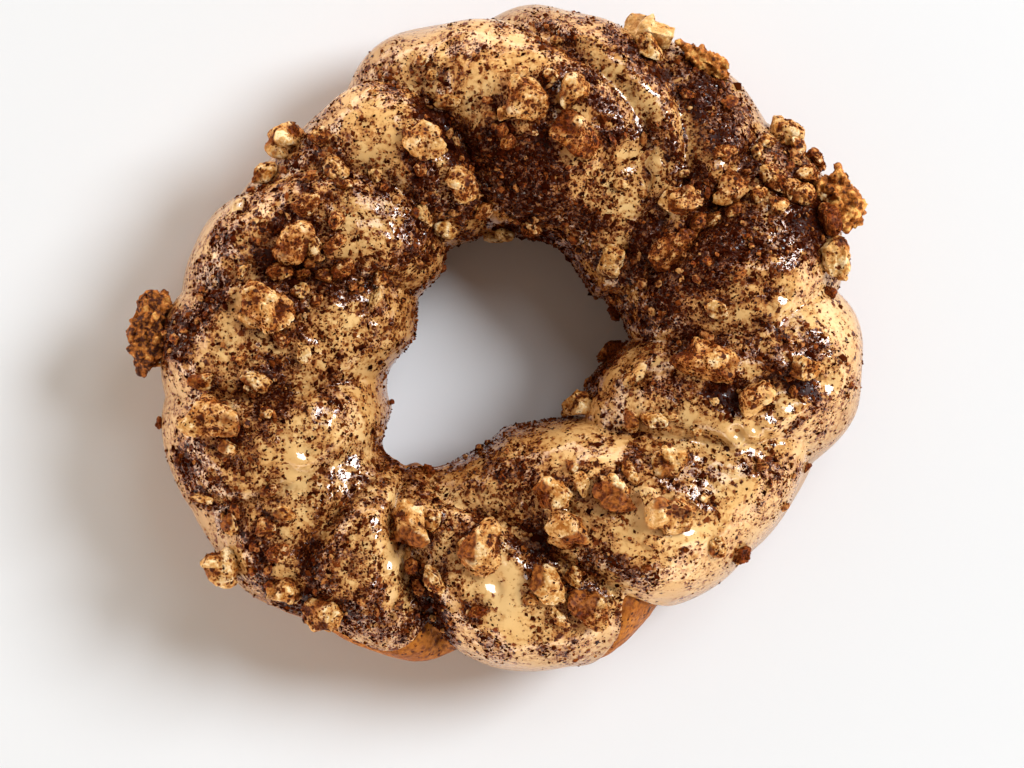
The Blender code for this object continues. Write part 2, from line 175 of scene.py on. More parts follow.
# How thickly the spice lies, from bare at 0 to covered at 1: strokes placed on an even base. They
# are listed by their reach in pixels, and each goes from one pixel to another and adds so many
# hundredths.
# Many strokes also paint shade, darkening deep creases and slopes turned from the lamp: spice and painted
# shade in one.
DUST_BASE = 0.56
DUST_PUSH = 1.5
NUT_DUST = 0.22                     # how much more of it lies round a nut, partly painted shadow at its foot
DUST_RUNS = {
    8: (
        (466, 608, 474, 614, 36), (818, 205, 826, 215, 30), (440, 125, 458, 148, 18),
        (428, 606, 444, 648, 22), (606, 482, 616, 490, 25), (324, 532, 328, 540, -18),
        (500, 530, 510, 540, -16), (395, 472, 405, 478, -18),
    ),
    9: (
        (605, 485, 625, 512, 42), (525, 580, 528, 600, 26), (415, 570, 440, 655, 50),
        (350, 495, 352, 510, 22), (425, 230, 430, 240, 20), (588, 78, 592, 90, 14), (548, 95, 550, 110, 14),
        (228, 385, 232, 402, -16), (238, 548, 245, 555, -18), (335, 588, 345, 592, -16),
        (768, 232, 775, 238, -18), (280, 566, 290, 574, -16), (420, 104, 440, 138, 30),
        (432, 114, 474, 155, 16), (798, 398, 804, 404, -20), (236, 552, 244, 560, -20),
        (262, 495, 268, 505, -15), (158, 355, 165, 368, 20), (430, 600, 440, 645, 35),
        (490, 465, 498, 480, 20), (696, 344, 704, 348, 20), (448, 238, 456, 245, -30),
        (495, 232, 505, 240, -20), (232, 505, 255, 550, 14), (485, 155, 492, 168, -14),
        (432, 108, 466, 152, 20), (430, 598, 446, 650, 25), (608, 482, 616, 492, 25),
        (666, 208, 678, 216, -30), (276, 568, 284, 576, -20), (636, 88, 654, 130, 22),
        (656, 135, 676, 182, 28), (688, 160, 692, 168, -25), (672, 214, 684, 218, -25),
        (645, 262, 652, 266, -22), (276, 246, 282, 252, -25), (322, 240, 326, 262, -18),
        (248, 290, 254, 298, -22), (665, 340, 682, 342, -30), (712, 392, 722, 404, 40),
        (802, 180, 812, 192, 20), (218, 276, 222, 290, 28), (286, 608, 294, 616, 20),
        (374, 185, 384, 192, 18), (366, 246, 378, 252, 16), (446, 208, 456, 216, 20),
        (498, 648, 510, 656, 20), (582, 596, 592, 604, 22), (684, 552, 696, 560, 18),
        (282, 372, 286, 380, 22), (270, 572, 300, 580, -22), (688, 370, 700, 380, -16),
        (690, 484, 706, 496, 12), (622, 85, 640, 125, 28), (642, 128, 652, 162, 34), (653, 165, 664, 192, 28),
    ),
    10: (
        (225, 285, 207, 312, 30), (638, 238, 618, 290, 28), (630, 420, 645, 470, 26),
        (200, 388, 235, 395, 18), (424, 112, 455, 145, 25), (423, 168, 428, 178, 30),
        (180, 312, 184, 345, 40), (598, 100, 610, 145, 22), (795, 345, 820, 342, 18),
        (700, 180, 706, 196, 22), (715, 395, 728, 402, 20), (650, 385, 665, 385, 18),
        (240, 290, 246, 305, -25), (288, 370, 290, 395, 20), (430, 600, 445, 640, 25),
        (705, 85, 725, 100, 20), (345, 550, 355, 555, 15), (220, 285, 240, 300, -30),
        (210, 395, 232, 402, -25), (322, 590, 340, 592, -20), (700, 310, 720, 318, -12),
        (625, 90, 635, 105, -20), (440, 490, 445, 510, -15), (380, 140, 385, 180, -10),
        (710, 530, 715, 545, -15), (222, 275, 220, 290, 20), (495, 648, 540, 652, 15),
        (548, 575, 552, 585, 16), (720, 155, 725, 158, 16), (378, 100, 382, 118, -25),
        (462, 105, 480, 118, -30), (580, 115, 582, 130, -15), (762, 398, 800, 402, -22),
        (648, 448, 652, 455, -18), (728, 428, 735, 435, -20), (595, 622, 605, 628, -25),
        (400, 550, 405, 600, -20), (358, 510, 364, 525, -22), (305, 485, 312, 492, -22),
        (282, 458, 290, 465, -22), (265, 345, 275, 355, -16), (476, 165, 480, 180, 14),
        (222, 430, 230, 434, 18), (578, 595, 582, 608, 20), (725, 382, 732, 392, 18),
        (808, 408, 816, 420, 22), (570, 98, 575, 115, -18), (585, 485, 592, 500, -20),
        (375, 608, 405, 612, -15), (795, 325, 800, 335, -15), (690, 344, 700, 346, 16),
        (655, 150, 660, 160, -22), (682, 418, 702, 418, -18), (738, 428, 745, 432, -16),
        (600, 565, 610, 574, -16), (508, 66, 548, 56, -12), (205, 462, 212, 475, -14),
        (308, 370, 312, 425, -14), (568, 125, 572, 155, -25), (488, 232, 500, 240, -30),
        (765, 215, 770, 240, -20), (650, 490, 652, 525, -25), (205, 325, 220, 335, 20),
        (325, 612, 335, 618, 20), (792, 432, 822, 412, 14), (745, 465, 750, 472, 12),
        (512, 535, 518, 545, 20), (544, 558, 550, 566, 20), (670, 215, 680, 220, -20),
        (660, 95, 680, 140, 12), (340, 640, 410, 640, 14), (288, 612, 300, 618, 18), (780, 430, 800, 425, 12),
        (485, 510, 495, 525, 14), (720, 168, 730, 172, -18), (608, 240, 622, 246, -25),
        (276, 224, 298, 230, 25), (150, 318, 172, 324, 25), (448, 204, 460, 214, 25),
        (500, 138, 536, 146, 20), (520, 178, 534, 186, 18), (480, 648, 500, 654, 16),
        (594, 392, 606, 400, 20), (708, 394, 722, 400, 20), (500, 540, 512, 552, 20),
        (542, 558, 552, 568, 20), (484, 228, 492, 236, -30), (644, 524, 656, 536, -18),
        (780, 388, 794, 380, -18), (722, 168, 732, 174, -22), (288, 196, 294, 204, -30),
        (278, 315, 282, 350, -20), (745, 348, 760, 356, 22), (788, 246, 798, 256, 25),
        (150, 322, 170, 326, 20), (250, 545, 262, 580, 16), (602, 544, 634, 546, 18),
        (700, 460, 712, 478, 14), (776, 384, 790, 400, -22), (784, 252, 796, 262, 25),
    ),
    11: (
        (424, 100, 462, 156, 45), (546, 80, 543, 148, 42), (555, 25, 590, 75, 24), (592, 80, 585, 130, 24),
        (768, 270, 764, 282, 24), (722, 394, 736, 396, 45), (665, 385, 680, 382, 32),
        (398, 525, 404, 545, 34), (330, 378, 334, 392, 28), (295, 272, 345, 287, 26),
        (290, 550, 335, 560, 18), (360, 588, 376, 610, 18), (527, 545, 535, 556, 26),
        (800, 212, 815, 226, 34), (722, 118, 728, 145, 26), (710, 320, 730, 322, -14),
        (208, 520, 225, 532, -20), (478, 155, 485, 190, 20), (420, 165, 425, 195, 15),
        (345, 192, 400, 198, 12), (220, 430, 232, 432, 28), (360, 470, 370, 472, 16),
        (220, 568, 222, 572, 22), (320, 615, 340, 615, 16), (580, 598, 585, 605, 28),
        (650, 310, 655, 315, 18), (722, 380, 728, 398, 26), (740, 345, 800, 348, 14),
        (662, 105, 675, 145, 14), (520, 230, 560, 232, 16), (590, 240, 595, 262, 16),
        (372, 150, 408, 178, -22), (620, 90, 640, 105, -18), (728, 312, 735, 325, -20),
        (785, 298, 792, 302, -25), (688, 415, 692, 425, -20), (570, 632, 585, 640, -16),
        (182, 370, 188, 390, -20), (445, 132, 455, 142, 25), (325, 390, 332, 420, 12),
        (478, 518, 482, 542, 18), (430, 600, 442, 645, 22), (685, 344, 698, 344, 22), (650, 85, 665, 140, 12),
        (800, 228, 815, 248, 14), (500, 62, 550, 62, -18), (600, 612, 606, 625, -25),
        (282, 222, 305, 228, 36), (520, 180, 526, 198, 20), (305, 555, 314, 590, 22),
        (288, 600, 300, 612, 18), (428, 605, 442, 640, 16), (460, 628, 480, 635, 14),
        (792, 432, 822, 410, 14), (760, 180, 790, 185, -20), (690, 190, 712, 198, 20),
        (636, 230, 650, 245, 25), (318, 505, 340, 515, 18), (290, 598, 302, 608, 25),
        (478, 520, 486, 545, 20), (840, 345, 842, 375, 15), (696, 468, 704, 480, 18),
        (620, 562, 655, 572, 14), (715, 258, 726, 270, 20), (378, 98, 384, 120, -15),
        (285, 222, 300, 230, 20), (160, 318, 175, 325, 20), (172, 455, 182, 490, 14),
        (650, 570, 690, 555, 16), (288, 606, 310, 614, 20), (636, 568, 664, 572, 16),
        (558, 150, 572, 160, -30), (672, 60, 688, 74, -35), (786, 324, 796, 340, -25),
        (668, 88, 678, 106, -45), (715, 108, 725, 122, -22), (756, 505, 780, 520, 10),
        (556, 500, 576, 512, -16), (560, 146, 580, 156, -16), (562, 92, 580, 104, -16),
    ),
    12: (
        (365, 78, 372, 82, 15), (215, 185, 250, 150, -20), (185, 480, 186, 490, 12),
        (215, 330, 235, 345, -30), (400, 120, 440, 100, -25), (635, 75, 690, 135, -26),
        (470, 590, 480, 570, -20), (330, 640, 400, 650, -15), (262, 258, 268, 262, 42),
        (425, 225, 425, 250, 24), (500, 90, 500, 130, 20), (615, 45, 690, 100, 26), (655, 208, 655, 222, 42),
        (812, 222, 818, 236, 42), (775, 362, 800, 388, 40), (545, 495, 560, 505, 14),
        (583, 592, 590, 612, 40), (300, 590, 292, 612, 28), (320, 520, 305, 580, 18),
        (405, 228, 412, 242, 28), (720, 202, 742, 180, 22), (378, 400, 384, 420, -20),
        (590, 550, 600, 590, 22), (550, 100, 575, 140, -15), (640, 30, 660, 60, -20), (510, 25, 565, 35, 15),
        (345, 180, 380, 190, 12), (795, 225, 818, 215, 25), (295, 320, 305, 325, 15),
        (320, 475, 335, 480, 12), (285, 600, 305, 605, 15), (480, 270, 500, 280, 20),
        (665, 120, 672, 150, 12), (250, 540, 262, 570, 15), (600, 395, 615, 410, 18),
        (480, 640, 550, 645, 10), (755, 465, 785, 470, 10), (690, 340, 740, 340, 10),
        (280, 150, 300, 165, 18), (400, 550, 400, 565, -30), (560, 600, 575, 615, -20),
        (590, 620, 605, 628, -30), (590, 490, 600, 505, -20), (560, 100, 570, 145, -20),
        (655, 165, 660, 205, -25), (500, 60, 540, 62, -12), (760, 305, 770, 315, -25),
        (425, 110, 440, 122, 15), (165, 320, 170, 355, 20), (195, 330, 205, 335, 16),
        (268, 398, 288, 400, 16), (410, 485, 422, 510, 18), (258, 585, 300, 605, 20),
        (430, 615, 440, 640, 20), (672, 345, 700, 342, 26), (600, 145, 605, 165, 14),
        (692, 445, 698, 485, 16), (652, 160, 660, 165, -30), (316, 345, 325, 370, -20),
        (290, 222, 330, 234, 15), (285, 610, 325, 616, 14), (750, 465, 762, 475, 14),
        (640, 490, 650, 530, -18), (690, 512, 712, 540, -14), (640, 80, 660, 110, 14),
        (640, 236, 652, 246, 24), (668, 265, 662, 310, 16), (635, 555, 655, 565, 14),
        (655, 105, 692, 160, -25), (460, 42, 480, 50, 16), (725, 372, 760, 395, 15), (465, 272, 498, 292, 20),
        (525, 30, 550, 38, 16), (205, 330, 230, 340, 16), (640, 175, 655, 160, -20), (662, 100, 690, 165, 32),
        (694, 172, 688, 240, 30), (700, 186, 712, 202, 25), (690, 236, 745, 246, 16), (505, 25, 545, 30, 14),
        (205, 500, 245, 515, 18), (560, 450, 600, 455, -14), (838, 325, 850, 395, 14),
    ),
    13: (
        (405, 155, 432, 205, 36), (670, 160, 715, 195, 20), (745, 168, 760, 172, 30),
        (530, 530, 548, 545, 46), (285, 325, 272, 365, 20), (255, 385, 258, 425, 26),
        (225, 425, 240, 440, 18), (265, 545, 268, 580, 24), (265, 190, 300, 185, 12),
        (380, 540, 392, 555, -26), (445, 470, 452, 492, -24), (172, 380, 190, 400, -26),
        (640, 515, 660, 530, -18), (160, 345, 200, 300, 20), (760, 455, 770, 480, 14),
        (800, 160, 820, 240, 16), (448, 138, 455, 148, 28), (485, 520, 475, 560, 25),
        (795, 225, 815, 255, 20), (645, 495, 680, 535, -16), (605, 552, 655, 580, 18),
        (700, 192, 715, 215, 22), (505, 190, 520, 205, 12), (835, 325, 848, 395, 20), (358, 60, 400, 64, 12),
    ),
    14: (
        (400, 75, 420, 90, -20), (185, 300, 200, 345, -22), (640, 640, 660, 600, -25),
        (365, 600, 385, 570, -12), (715, 330, 780, 320, 16), (270, 385, 270, 405, 28),
        (600, 60, 640, 105, -16), (278, 395, 292, 415, 20), (700, 90, 745, 145, 20), (310, 555, 330, 585, 20),
        (180, 455, 190, 470, 16), (350, 75, 395, 90, 16), (420, 100, 460, 140, 15), (405, 45, 470, 45, 12),
        (530, 225, 640, 225, 20), (700, 260, 735, 250, 15), (665, 290, 700, 285, 15),
        (175, 450, 185, 485, 12), (600, 550, 645, 585, 18), (395, 235, 395, 285, 18),
        (215, 240, 290, 225, 18), (292, 430, 298, 485, -30), (680, 425, 745, 428, -20),
        (370, 75, 390, 78, 25), (285, 275, 300, 318, 16), (598, 552, 650, 588, 20), (668, 235, 682, 245, 26),
        (760, 445, 785, 478, 16), (375, 62, 400, 88, 12), (158, 335, 168, 350, 40), (655, 272, 715, 288, 12),
        (462, 268, 500, 296, 25), (700, 225, 722, 245, 30), (350, 60, 400, 75, 14), (665, 270, 720, 285, 10),
        (395, 38, 470, 30, 14), (165, 455, 200, 500, 16), (700, 470, 730, 500, -10), (705, 288, 790, 300, 14),
    ),
    15: (
        (370, 170, 395, 195, 14), (290, 465, 350, 430, -20), (365, 120, 385, 145, -18),
        (355, 285, 400, 260, 18), (500, 462, 525, 475, 25), (700, 192, 722, 212, 26),
    ),
    16: (
        (480, 55, 495, 60, 12), (350, 215, 400, 235, -22), (395, 345, 375, 400, -18),
        (640, 95, 655, 140, -15), (820, 420, 790, 470, -26), (740, 440, 790, 440, -30),
        (440, 640, 540, 665, -40), (560, 620, 600, 645, -15), (300, 262, 345, 285, 30),
        (700, 70, 715, 140, 22), (375, 470, 435, 472, 16), (550, 200, 590, 215, 30),
        (762, 300, 780, 312, -28), (545, 505, 575, 530, -20), (505, 145, 525, 205, 15),
        (170, 335, 210, 305, 25), (640, 490, 680, 530, -20), (810, 345, 845, 415, 16),
    ),
    18: (
        (170, 430, 190, 520, -20), (805, 280, 835, 320, -36), (700, 450, 745, 490, -36),
        (560, 425, 610, 400, -24), (500, 440, 560, 460, -16), (500, 565, 515, 640, -50),
        (600, 540, 650, 560, -28), (785, 150, 830, 200, 30), (470, 60, 520, 105, -24),
        (355, 610, 440, 635, 26), (645, 500, 690, 530, -20),
    ),
    20: (
        (175, 250, 200, 200, -30), (670, 55, 735, 100, 30), (290, 140, 320, 160, 14),
        (665, 295, 760, 222, 42), (560, 440, 640, 410, -20),
    ),
    22: (
        (845, 330, 850, 400, -40), (690, 235, 760, 240, 18), (510, 165, 560, 165, 22),
        (640, 270, 670, 320, 30), (480, 560, 530, 600, -20), (480, 570, 540, 610, -25),
        (610, 225, 740, 240, 12), (360, 50, 465, 55, 8),
    ),
    24: (
        (420, 35, 510, 30, -36), (485, 145, 545, 190, 40),
    ),
    26: (
        (500, 200, 520, 225, 14),
    ),
    34: (
        (350, 85, 410, 30, -42), (650, 580, 780, 530, -46),
    ),
}
DUST = [Stroke(run[:2], run[2:4], reach, run[4] / 100)
        for reach, runs in DUST_RUNS.items() for run in runs]

# Glossy dark patches, where the spice has soaked up the glaze; those along the two deep creases also paint
# their shade
WET = (
    Stroke((446, 128), (462, 150), 10, 0.9), Stroke((538, 138), (550, 146), 9, 0.8),
    Stroke((662, 75), (712, 140), 13, 0.9), Stroke((748, 160), (750, 162), 10, 0.7),
    Stroke((657, 210), (660, 218), 9, 0.8), Stroke((696, 226), (698, 227), 9, 0.7),
    Stroke((798, 222), (814, 224), 9, 0.8), Stroke((768, 376), (816, 396), 10, 1.0),
    Stroke((718, 394), (734, 398), 8, 1.0), Stroke((256, 246), (268, 256), 10, 0.9),
    Stroke((760, 300), (785, 335), 12, 0.8), Stroke((350, 498), (352, 502), 9, 0.8),
    Stroke((309, 535), (313, 540), 9, 0.8), Stroke((265, 365), (268, 372), 10, 0.7),
    Stroke((590, 603), (592, 608), 9, 0.8), Stroke((532, 532), (545, 545), 10, 0.7),
    Stroke((470, 611), (474, 614), 6, 0.8), Stroke((430, 470), (436, 474), 7, 0.5),
    Stroke((430, 598), (438, 645), 7, 0.8), Stroke((424, 112), (436, 134), 7, 0.7),
)

# ---------------------------------------------------------------- nuts, as tables

# What a nut piece shows: its share of brown skin and the side that the skin is on, how much of
# it the glaze covers, and how thickly the spice lies on it
Look = namedtuple("Look", "skin side glazed dust")
PLAIN_NUT = Look(0.06, 200, 0.1, 0.35)
NUT_LOOKS = {
    "nut_01": Look(0.02, 120, 0.1, 0.35), "nut_02": Look(0.05, -30, 0.1, 0.35),
    "nut_03": Look(0.0, 0, 0.3, 0.25), "nut_07": Look(0.12, 120, 0.1, 0.60),
    "nut_08": Look(0.0, 120, 0.5, -0.25), "nut_09": Look(0.08, -60, 0.3, 0.45),
    "nut_10": Look(0.06, 90, 0.2, 0.40), "nut_11": Look(0.05, 90, 0.2, 0.75),
    "nut_12": Look(0.0, 0, 0.1, 0.10), "nut_13": Look(0.04, 60, 0.1, 0.15),
    "nut_14": Look(0.02, 200, 0.1, 0.10), "nut_15": Look(0.0, 0, 0.2, 0.48),
    "nut_16": Look(0.0, 0, 0.8, 0.35), "nut_17": Look(0.05, 200, 0.1, 0.25),
    "nut_18": Look(0.32, 190, 0.1, 0.20), "nut_19": Look(0.20, -60, 0.1, 0.20),
    "nut_20": Look(0.50, 240, 0.1, 0.20), "nut_21": Look(0.12, -90, 0.1, 0.15),
    "nut_22": Look(0.08, 120, 0.2, 0.15), "nut_23": Look(0.16, 180, 0.3, 0.25),
    "nut_24": Look(0.24, -100, 0.1, 0.15), "nut_25": Look(0.22, 150, 0.1, 0.15),
    "nut_26": Look(0.35, 135, 0.1, 0.45), "nut_29": Look(0.08, 90, 0.1, 0.30),
    "nut_30": Look(0.04, 200, 0.1, 0.48),
}
NUT_VOXEL = 0.215                   # cell of the even mesh that a nut or crumb cluster starts from
NUT_SPREAD = 1.12                   # how much a nut grows before it is chopped

# Smaller bits of nut where the photograph shows them: pixel, length and width in millimetres,
# heading, and what they are
Bit = namedtuple("Bit", "x y length width heading kind")
SMALL_NUTS = (
    Bit(280, 276, 3.6, 3.0, 20, "dusted"), Bit(303, 274, 2.4, 2.0, 0, "dusted"),
    Bit(300, 292, 2.8, 2.4, -30, "plain"), Bit(244, 270, 2.4, 1.8, 60, "plain"),
    Bit(282, 341, 3.0, 2.0, -45, "dusted"), Bit(303, 354, 3.4, 2.2, -60, "glazed"),
    Bit(257, 381, 4.4, 2.6, -20, "plain"), Bit(202, 381, 3.8, 2.6, -10, "brown"),
    Bit(268, 415, 2.0, 1.6, 0, "plain"), Bit(241, 360, 2.4, 1.6, 30, "dusted"),
    Bit(321, 137, 3.6, 2.6, -10, "dusted"), Bit(267, 176, 4.1, 3.0, 30, "plain"),
    Bit(334, 172, 4.2, 3.2, -60, "plain"), Bit(345, 186, 3.0, 2.0, -30, "dusted"),
    Bit(377, 173, 2.6, 2.0, -70, "glazed"), Bit(424, 61, 2.2, 1.7, 10, "plain"),
    Bit(432, 75, 2.0, 1.6, -20, "plain"), Bit(451, 101, 4.4, 2.4, 5, "plain"),
    Bit(507, 113, 2.8, 2.2, 60, "plain"), Bit(425, 213, 3.2, 2.6, -60, "glazed"),
    Bit(482, 209, 3.2, 2.4, 0, "dusted"), Bit(492, 237, 3.4, 2.0, -60, "pale"),
    Bit(505, 231, 3.0, 2.2, 10, "pale"), Bit(530, 224, 3.4, 2.8, 0, "dusted"),
    Bit(290, 252, 3.2, 2.4, 40, "plain"), Bit(313, 243, 3.4, 2.6, -50, "plain"),
    Bit(326, 275, 3.0, 2.2, 0, "dusted"), Bit(374, 94, 1.5, 1.2, 0, "plain"),
    Bit(550, 77, 2.4, 2.0, 0, "dusted"), Bit(511, 142, 3.0, 2.2, 30, "dusted"),
    Bit(534, 133, 1.1, 0.9, 0, "plain"), Bit(687, 95, 2.2, 1.7, -30, "dusted"),
    Bit(722, 154, 4.4, 2.2, 15, "dusted"), Bit(735, 211, 2.6, 2.0, 60, "dusted"),
    Bit(711, 223, 3.4, 2.2, 10, "dusted"), Bit(756, 152, 2.4, 1.8, 60, "plain"),
    Bit(764, 142, 2.4, 2.0, 0, "plain"), Bit(777, 186, 3.4, 2.6, -40, "dusted"),
    Bit(718, 308, 3.6, 2.6, -20, "plain"), Bit(804, 368, 5.2, 3.6, -10, "plain"),
    Bit(638, 377, 3.8, 2.8, 20, "glazed"), Bit(613, 350, 4.6, 2.8, 40, "dark"),
    Bit(828, 293, 2.6, 2.0, -40, "dark"), Bit(614, 314, 2.4, 2.0, 0, "dark"),
    Bit(713, 402, 1.6, 1.4, 0, "glazed"), Bit(633, 422, 3.2, 2.4, -50, "brown"),
    Bit(654, 421, 3.8, 2.8, 10, "plain"), Bit(671, 416, 2.2, 1.6, 0, "glazed"),
    Bit(696, 431, 1.5, 1.3, 0, "plain"), Bit(564, 492, 3.4, 2.4, -50, "plain"),
    Bit(583, 486, 3.6, 2.6, -70, "plain"), Bit(573, 468, 2.4, 1.6, -50, "brown"),
    Bit(632, 473, 3.8, 1.8, -55, "plain"), Bit(648, 499, 3.4, 2.4, -50, "glazed"),
    Bit(669, 473, 2.6, 1.8, 0, "brown"), Bit(657, 540, 2.6, 2.0, 20, "glazed"),
    Bit(716, 546, 4.2, 2.2, -60, "plain"), Bit(740, 554, 3.2, 2.4, -10, "dark"),
    Bit(703, 497, 1.8, 1.4, 0, "plain"), Bit(436, 577, 4.0, 2.8, -75, "plain"),
    Bit(433, 522, 3.2, 2.0, 50, "plain"), Bit(571, 579, 3.6, 2.8, -40, "plain"),
    Bit(531, 600, 2.4, 1.8, 0, "plain"), Bit(560, 617, 4.0, 2.0, -50, "plain"),
    Bit(611, 604, 2.4, 2.0, -20, "plain"), Bit(464, 545, 2.8, 1.8, 60, "plain"),
    Bit(428, 472, 2.2, 1.8, 0, "dark"), Bit(477, 611, 2.4, 1.9, 0, "dark"),
    Bit(647, 568, 1.8, 1.4, 0, "dark"), Bit(203, 498, 4.4, 1.9, 5, "plain"),
    Bit(233, 524, 3.2, 2.6, 60, "brown"), Bit(266, 528, 2.9, 2.6, 0, "dusted"),
    Bit(285, 514, 2.8, 2.2, 0, "plain"), Bit(279, 554, 3.4, 2.6, 20, "dusted"),
    Bit(228, 448, 3.0, 2.4, 0, "brown"), Bit(270, 490, 2.8, 2.0, 20, "dusted"),
    Bit(160, 423, 1.8, 1.4, 40, "dark"), Bit(806, 467, 1.6, 1.3, 0, "dark"),
    Bit(813, 160, 3.9, 3.2, -30, "dusted"), Bit(250, 388, 2.0, 1.6, 0, "plain"),
    Bit(318, 300, 2.0, 1.6, 0, "dusted"), Bit(420, 170, 2.2, 1.6, -50, "dusted"),
    Bit(645, 51, 5.0, 4.0, 80, "plain"), Bit(800, 196, 4.4, 3.4, 20, "crusted"),
    Bit(822, 196, 3.4, 2.8, -40, "crusted"), Bit(826, 221, 4.6, 3.6, -60, "dark"),
    Bit(789, 188, 3.4, 2.8, 60, "crusted"), Bit(771, 176, 3.6, 2.8, -60, "crusted"),
    Bit(806, 178, 4.0, 3.2, 30, "crusted"), Bit(795, 150, 3.4, 2.8, -30, "crusted"),
    Bit(780, 208, 3.0, 2.4, 0, "crusted"), Bit(757, 196, 2.8, 2.4, 40, "crusted"),
    Bit(444, 230, 3.4, 2.8, -40, "pale"), Bit(621, 186, 2.4, 2.0, 0, "glazed"),
    Bit(522, 72, 2.8, 2.2, 20, "glazed"), Bit(333, 246, 3.8, 2.8, 40, "dusted"),
    Bit(344, 268, 3.6, 2.6, 40, "dusted"), Bit(306, 206, 4.2, 3.2, 30, "dusted"),
    Bit(336, 221, 3.0, 2.4, 30, "dusted"), Bit(380, 274, 2.8, 2.4, 0, "dusted"),
    Bit(374, 298, 3.2, 1.8, 80, "glazed"),
)
KINDS = {
    "plain": Look(0.10, 200, 0.0, 0.25), "dusted": Look(0.10, 200, 0.1, 0.65),
    "glazed": Look(0.0, 0, 0.75, 0.25), "brown": Look(0.35, 160, 0.0, 0.30),
    "dark": Look(0.45, 0, 0.0, 0.9), "crusted": Look(0.08, 200, 0.0, 0.45),
    "pale": Look(0.0, 0, 0.1, 0.0),
}
NUT_CHOPS = (9, 0.62, 0.90)         # cuts, and the least and most of its reach that they leave
BALL_CHOPS = (9, 0.5, 0.85)
NUT_LUMPS = (2.8, 0.16, 0.22)       # a lump's size, the depth of its seams and how far it tilts
NUT_GRAINS = (1.5, 0.06, 0.14)
CRUMB_LUMPS = (1.9, 0.50, 0.3)
FIBRE_WIDTH = 0.8                   # the ridges along a nut
FIBRE_DEPTH = 0.16
FIBRE_STRETCH = 4.0
NUT_SPICE = 0.12                    # the least spice on any nut
FINE_LENGTH = 3.0                   # bits of nut longer than this get a finer mesh
BIT_HEIGHT = 0.85                   # of a bit's width
BIT_SPREAD = 1.08                   # how much a bit grows, since its chopped sides take some away
BIT_LIFT = 0.20                     # of its width, from the glaze up to its middle
SMALL_NUT_SEED = 7
CRUMB_SHAPES = 8                    # broken shapes that the scattered crumbs are copies of
SEAT = 0.9                          # height over which a nut's foot is drawn down into the glaze
SEAT_DEPTH = 0.7

# How much lighter than dark each cluster of fried crumb is
CRUMB_TONES = {"crumb_left": -0.25, "crumb_right": 0.1, "crumb_top": 0.3}

# Scattered bits: how many, their usual radius and the seed of their places, sizes and turns
Bits = namedtuple("Bits", "count radius seed")
DARK_BITS = Bits(23000, 0.150, 101)
RUST_BITS = Bits(19000, 0.130, 102)
CRUMB_BITS = Bits(420, 0.42, 103)
BITS_ON_NUTS = Bits(9000, 0.11, 104)
LUMP_BITS = Bits(70, 0.66, 105)


def to_pixels(points):
    """Where points in millimetres show in the photograph's frame."""
    scale = PIXELS / (CAMERA_HEIGHT - points[:, 2])
    across = PHOTO_SIZE[0] / 2 + (points[:, 0] - CAMERA_OVER[0]) * scale
    down = PHOTO_SIZE[1] / 2 - (points[:, 1] - CAMERA_OVER[1]) * scale
    return np.column_stack((across, down))


def smooth_step(value, low, high):
    """0 below low, 1 above high, and a smooth rise between."""
    part = np.clip((value - low) / (high - low), 0.0, 1.0)
    return part * part * (3 - 2 * part)


def waves(points, size, offset=0.0):
    """Smooth noise of that grain size at each point, about -1 to 1. The offset shifts it."""
    places = (points / size + offset).tolist()
    return np.array([noise.noise(place) for place in places])


def direction(heading, height):
    """The unit vector toward a heading and a height above the floor, in degrees."""
    heading, height = math.radians(heading), math.radians(height)
    return np.array((math.cos(heading) * math.cos(height), math.sin(heading) * math.cos(height),
                     math.sin(height)))


def strokes_at(pixels, strokes):
    """The sum of soft strokes at each pixel place."""
    total = np.zeros(len(pixels))
    for stroke in strokes:
        start = np.array(stroke.start, float)
        run = np.array(stroke.end, float) - start
        along = np.clip((pixels - start) @ run / (run @ run), 0.0, 1.0)
        gap = np.linalg.norm(pixels - start - along[:, None] * run, axis=1)
        total += stroke.amount * np.exp(-(gap / stroke.reach) ** 2)
    return total


# ---------------------------------------------------------------- the ring's surface

def spiral_table(rows, turn=0.0):
    """Station values of every crease, and of one lap before and after, for smooth reading.

    One lap over the tube leads on to the crease before.
    """
    table = []
    for crease in range(len(LOBES) + 1):
        line = []
        for station in range(-STATIONS, 2 * STATIONS + 1):
            laps, column = divmod(station, STATIONS)
            turns, row = divmod(crease - laps, len(LOBES))
            line.append(rows[row][column] + turns * turn)
        table.append(line)
    return np.array(table, float)


def angle_rows():
    """Each crease's angle at the eight stations, led on below the tube to the rim before it."""
    rows = []
    for index, lobe in enumerate(LOBES):
        before = LOBES[index - 1].angles[0] - (TURN if index == 0 else 0.0)
        hole = lobe.angles[-1]
        rows.append([*lobe.angles, *(hole + (before - hole) * part / 4 for part in (1, 2, 3))])
    return rows


def depth_rows():
    """Each crease's depth at the eight stations."""
    rows = []
    for index, lobe in enumerate(LOBES):
        rim, top, hole = lobe.depths
        ends = [rim, top, hole, UNDERSIDE_CREASE, LOBES[index - 1].depths[0]]
        rows.append([value for start, end in zip(ends, ends[1:])
                     for value in (start, (start + end) / 2)])
    return rows


ANGLES = spiral_table(angle_rows(), TURN)
DEPTHS = spiral_table(depth_rows())


def crease_values(table, over):
    """A table's values at `over` degrees round the tube, on smooth curves: one row a crease."""
    place = over / STATION
    first = np.floor(place).astype(int)
    part = place - first
    before, start, end, after = (table[:, first + step + STATIONS] for step in (-1, 0, 1, 2))
    return start + 0.5 * part * (end - before + part * (
        2 * before - 5 * start + 4 * end - after + part * (3 * (start - end) + after - before)))


def lobe_middles(station):
    """Each lobe's middle angle at one station."""
    starts = [lobe.angles[station] for lobe in LOBES]
    ends = [*starts[1:], starts[0] + TURN]
    return np.array([(start + end) / 2 for start, end in zip(starts, ends)])


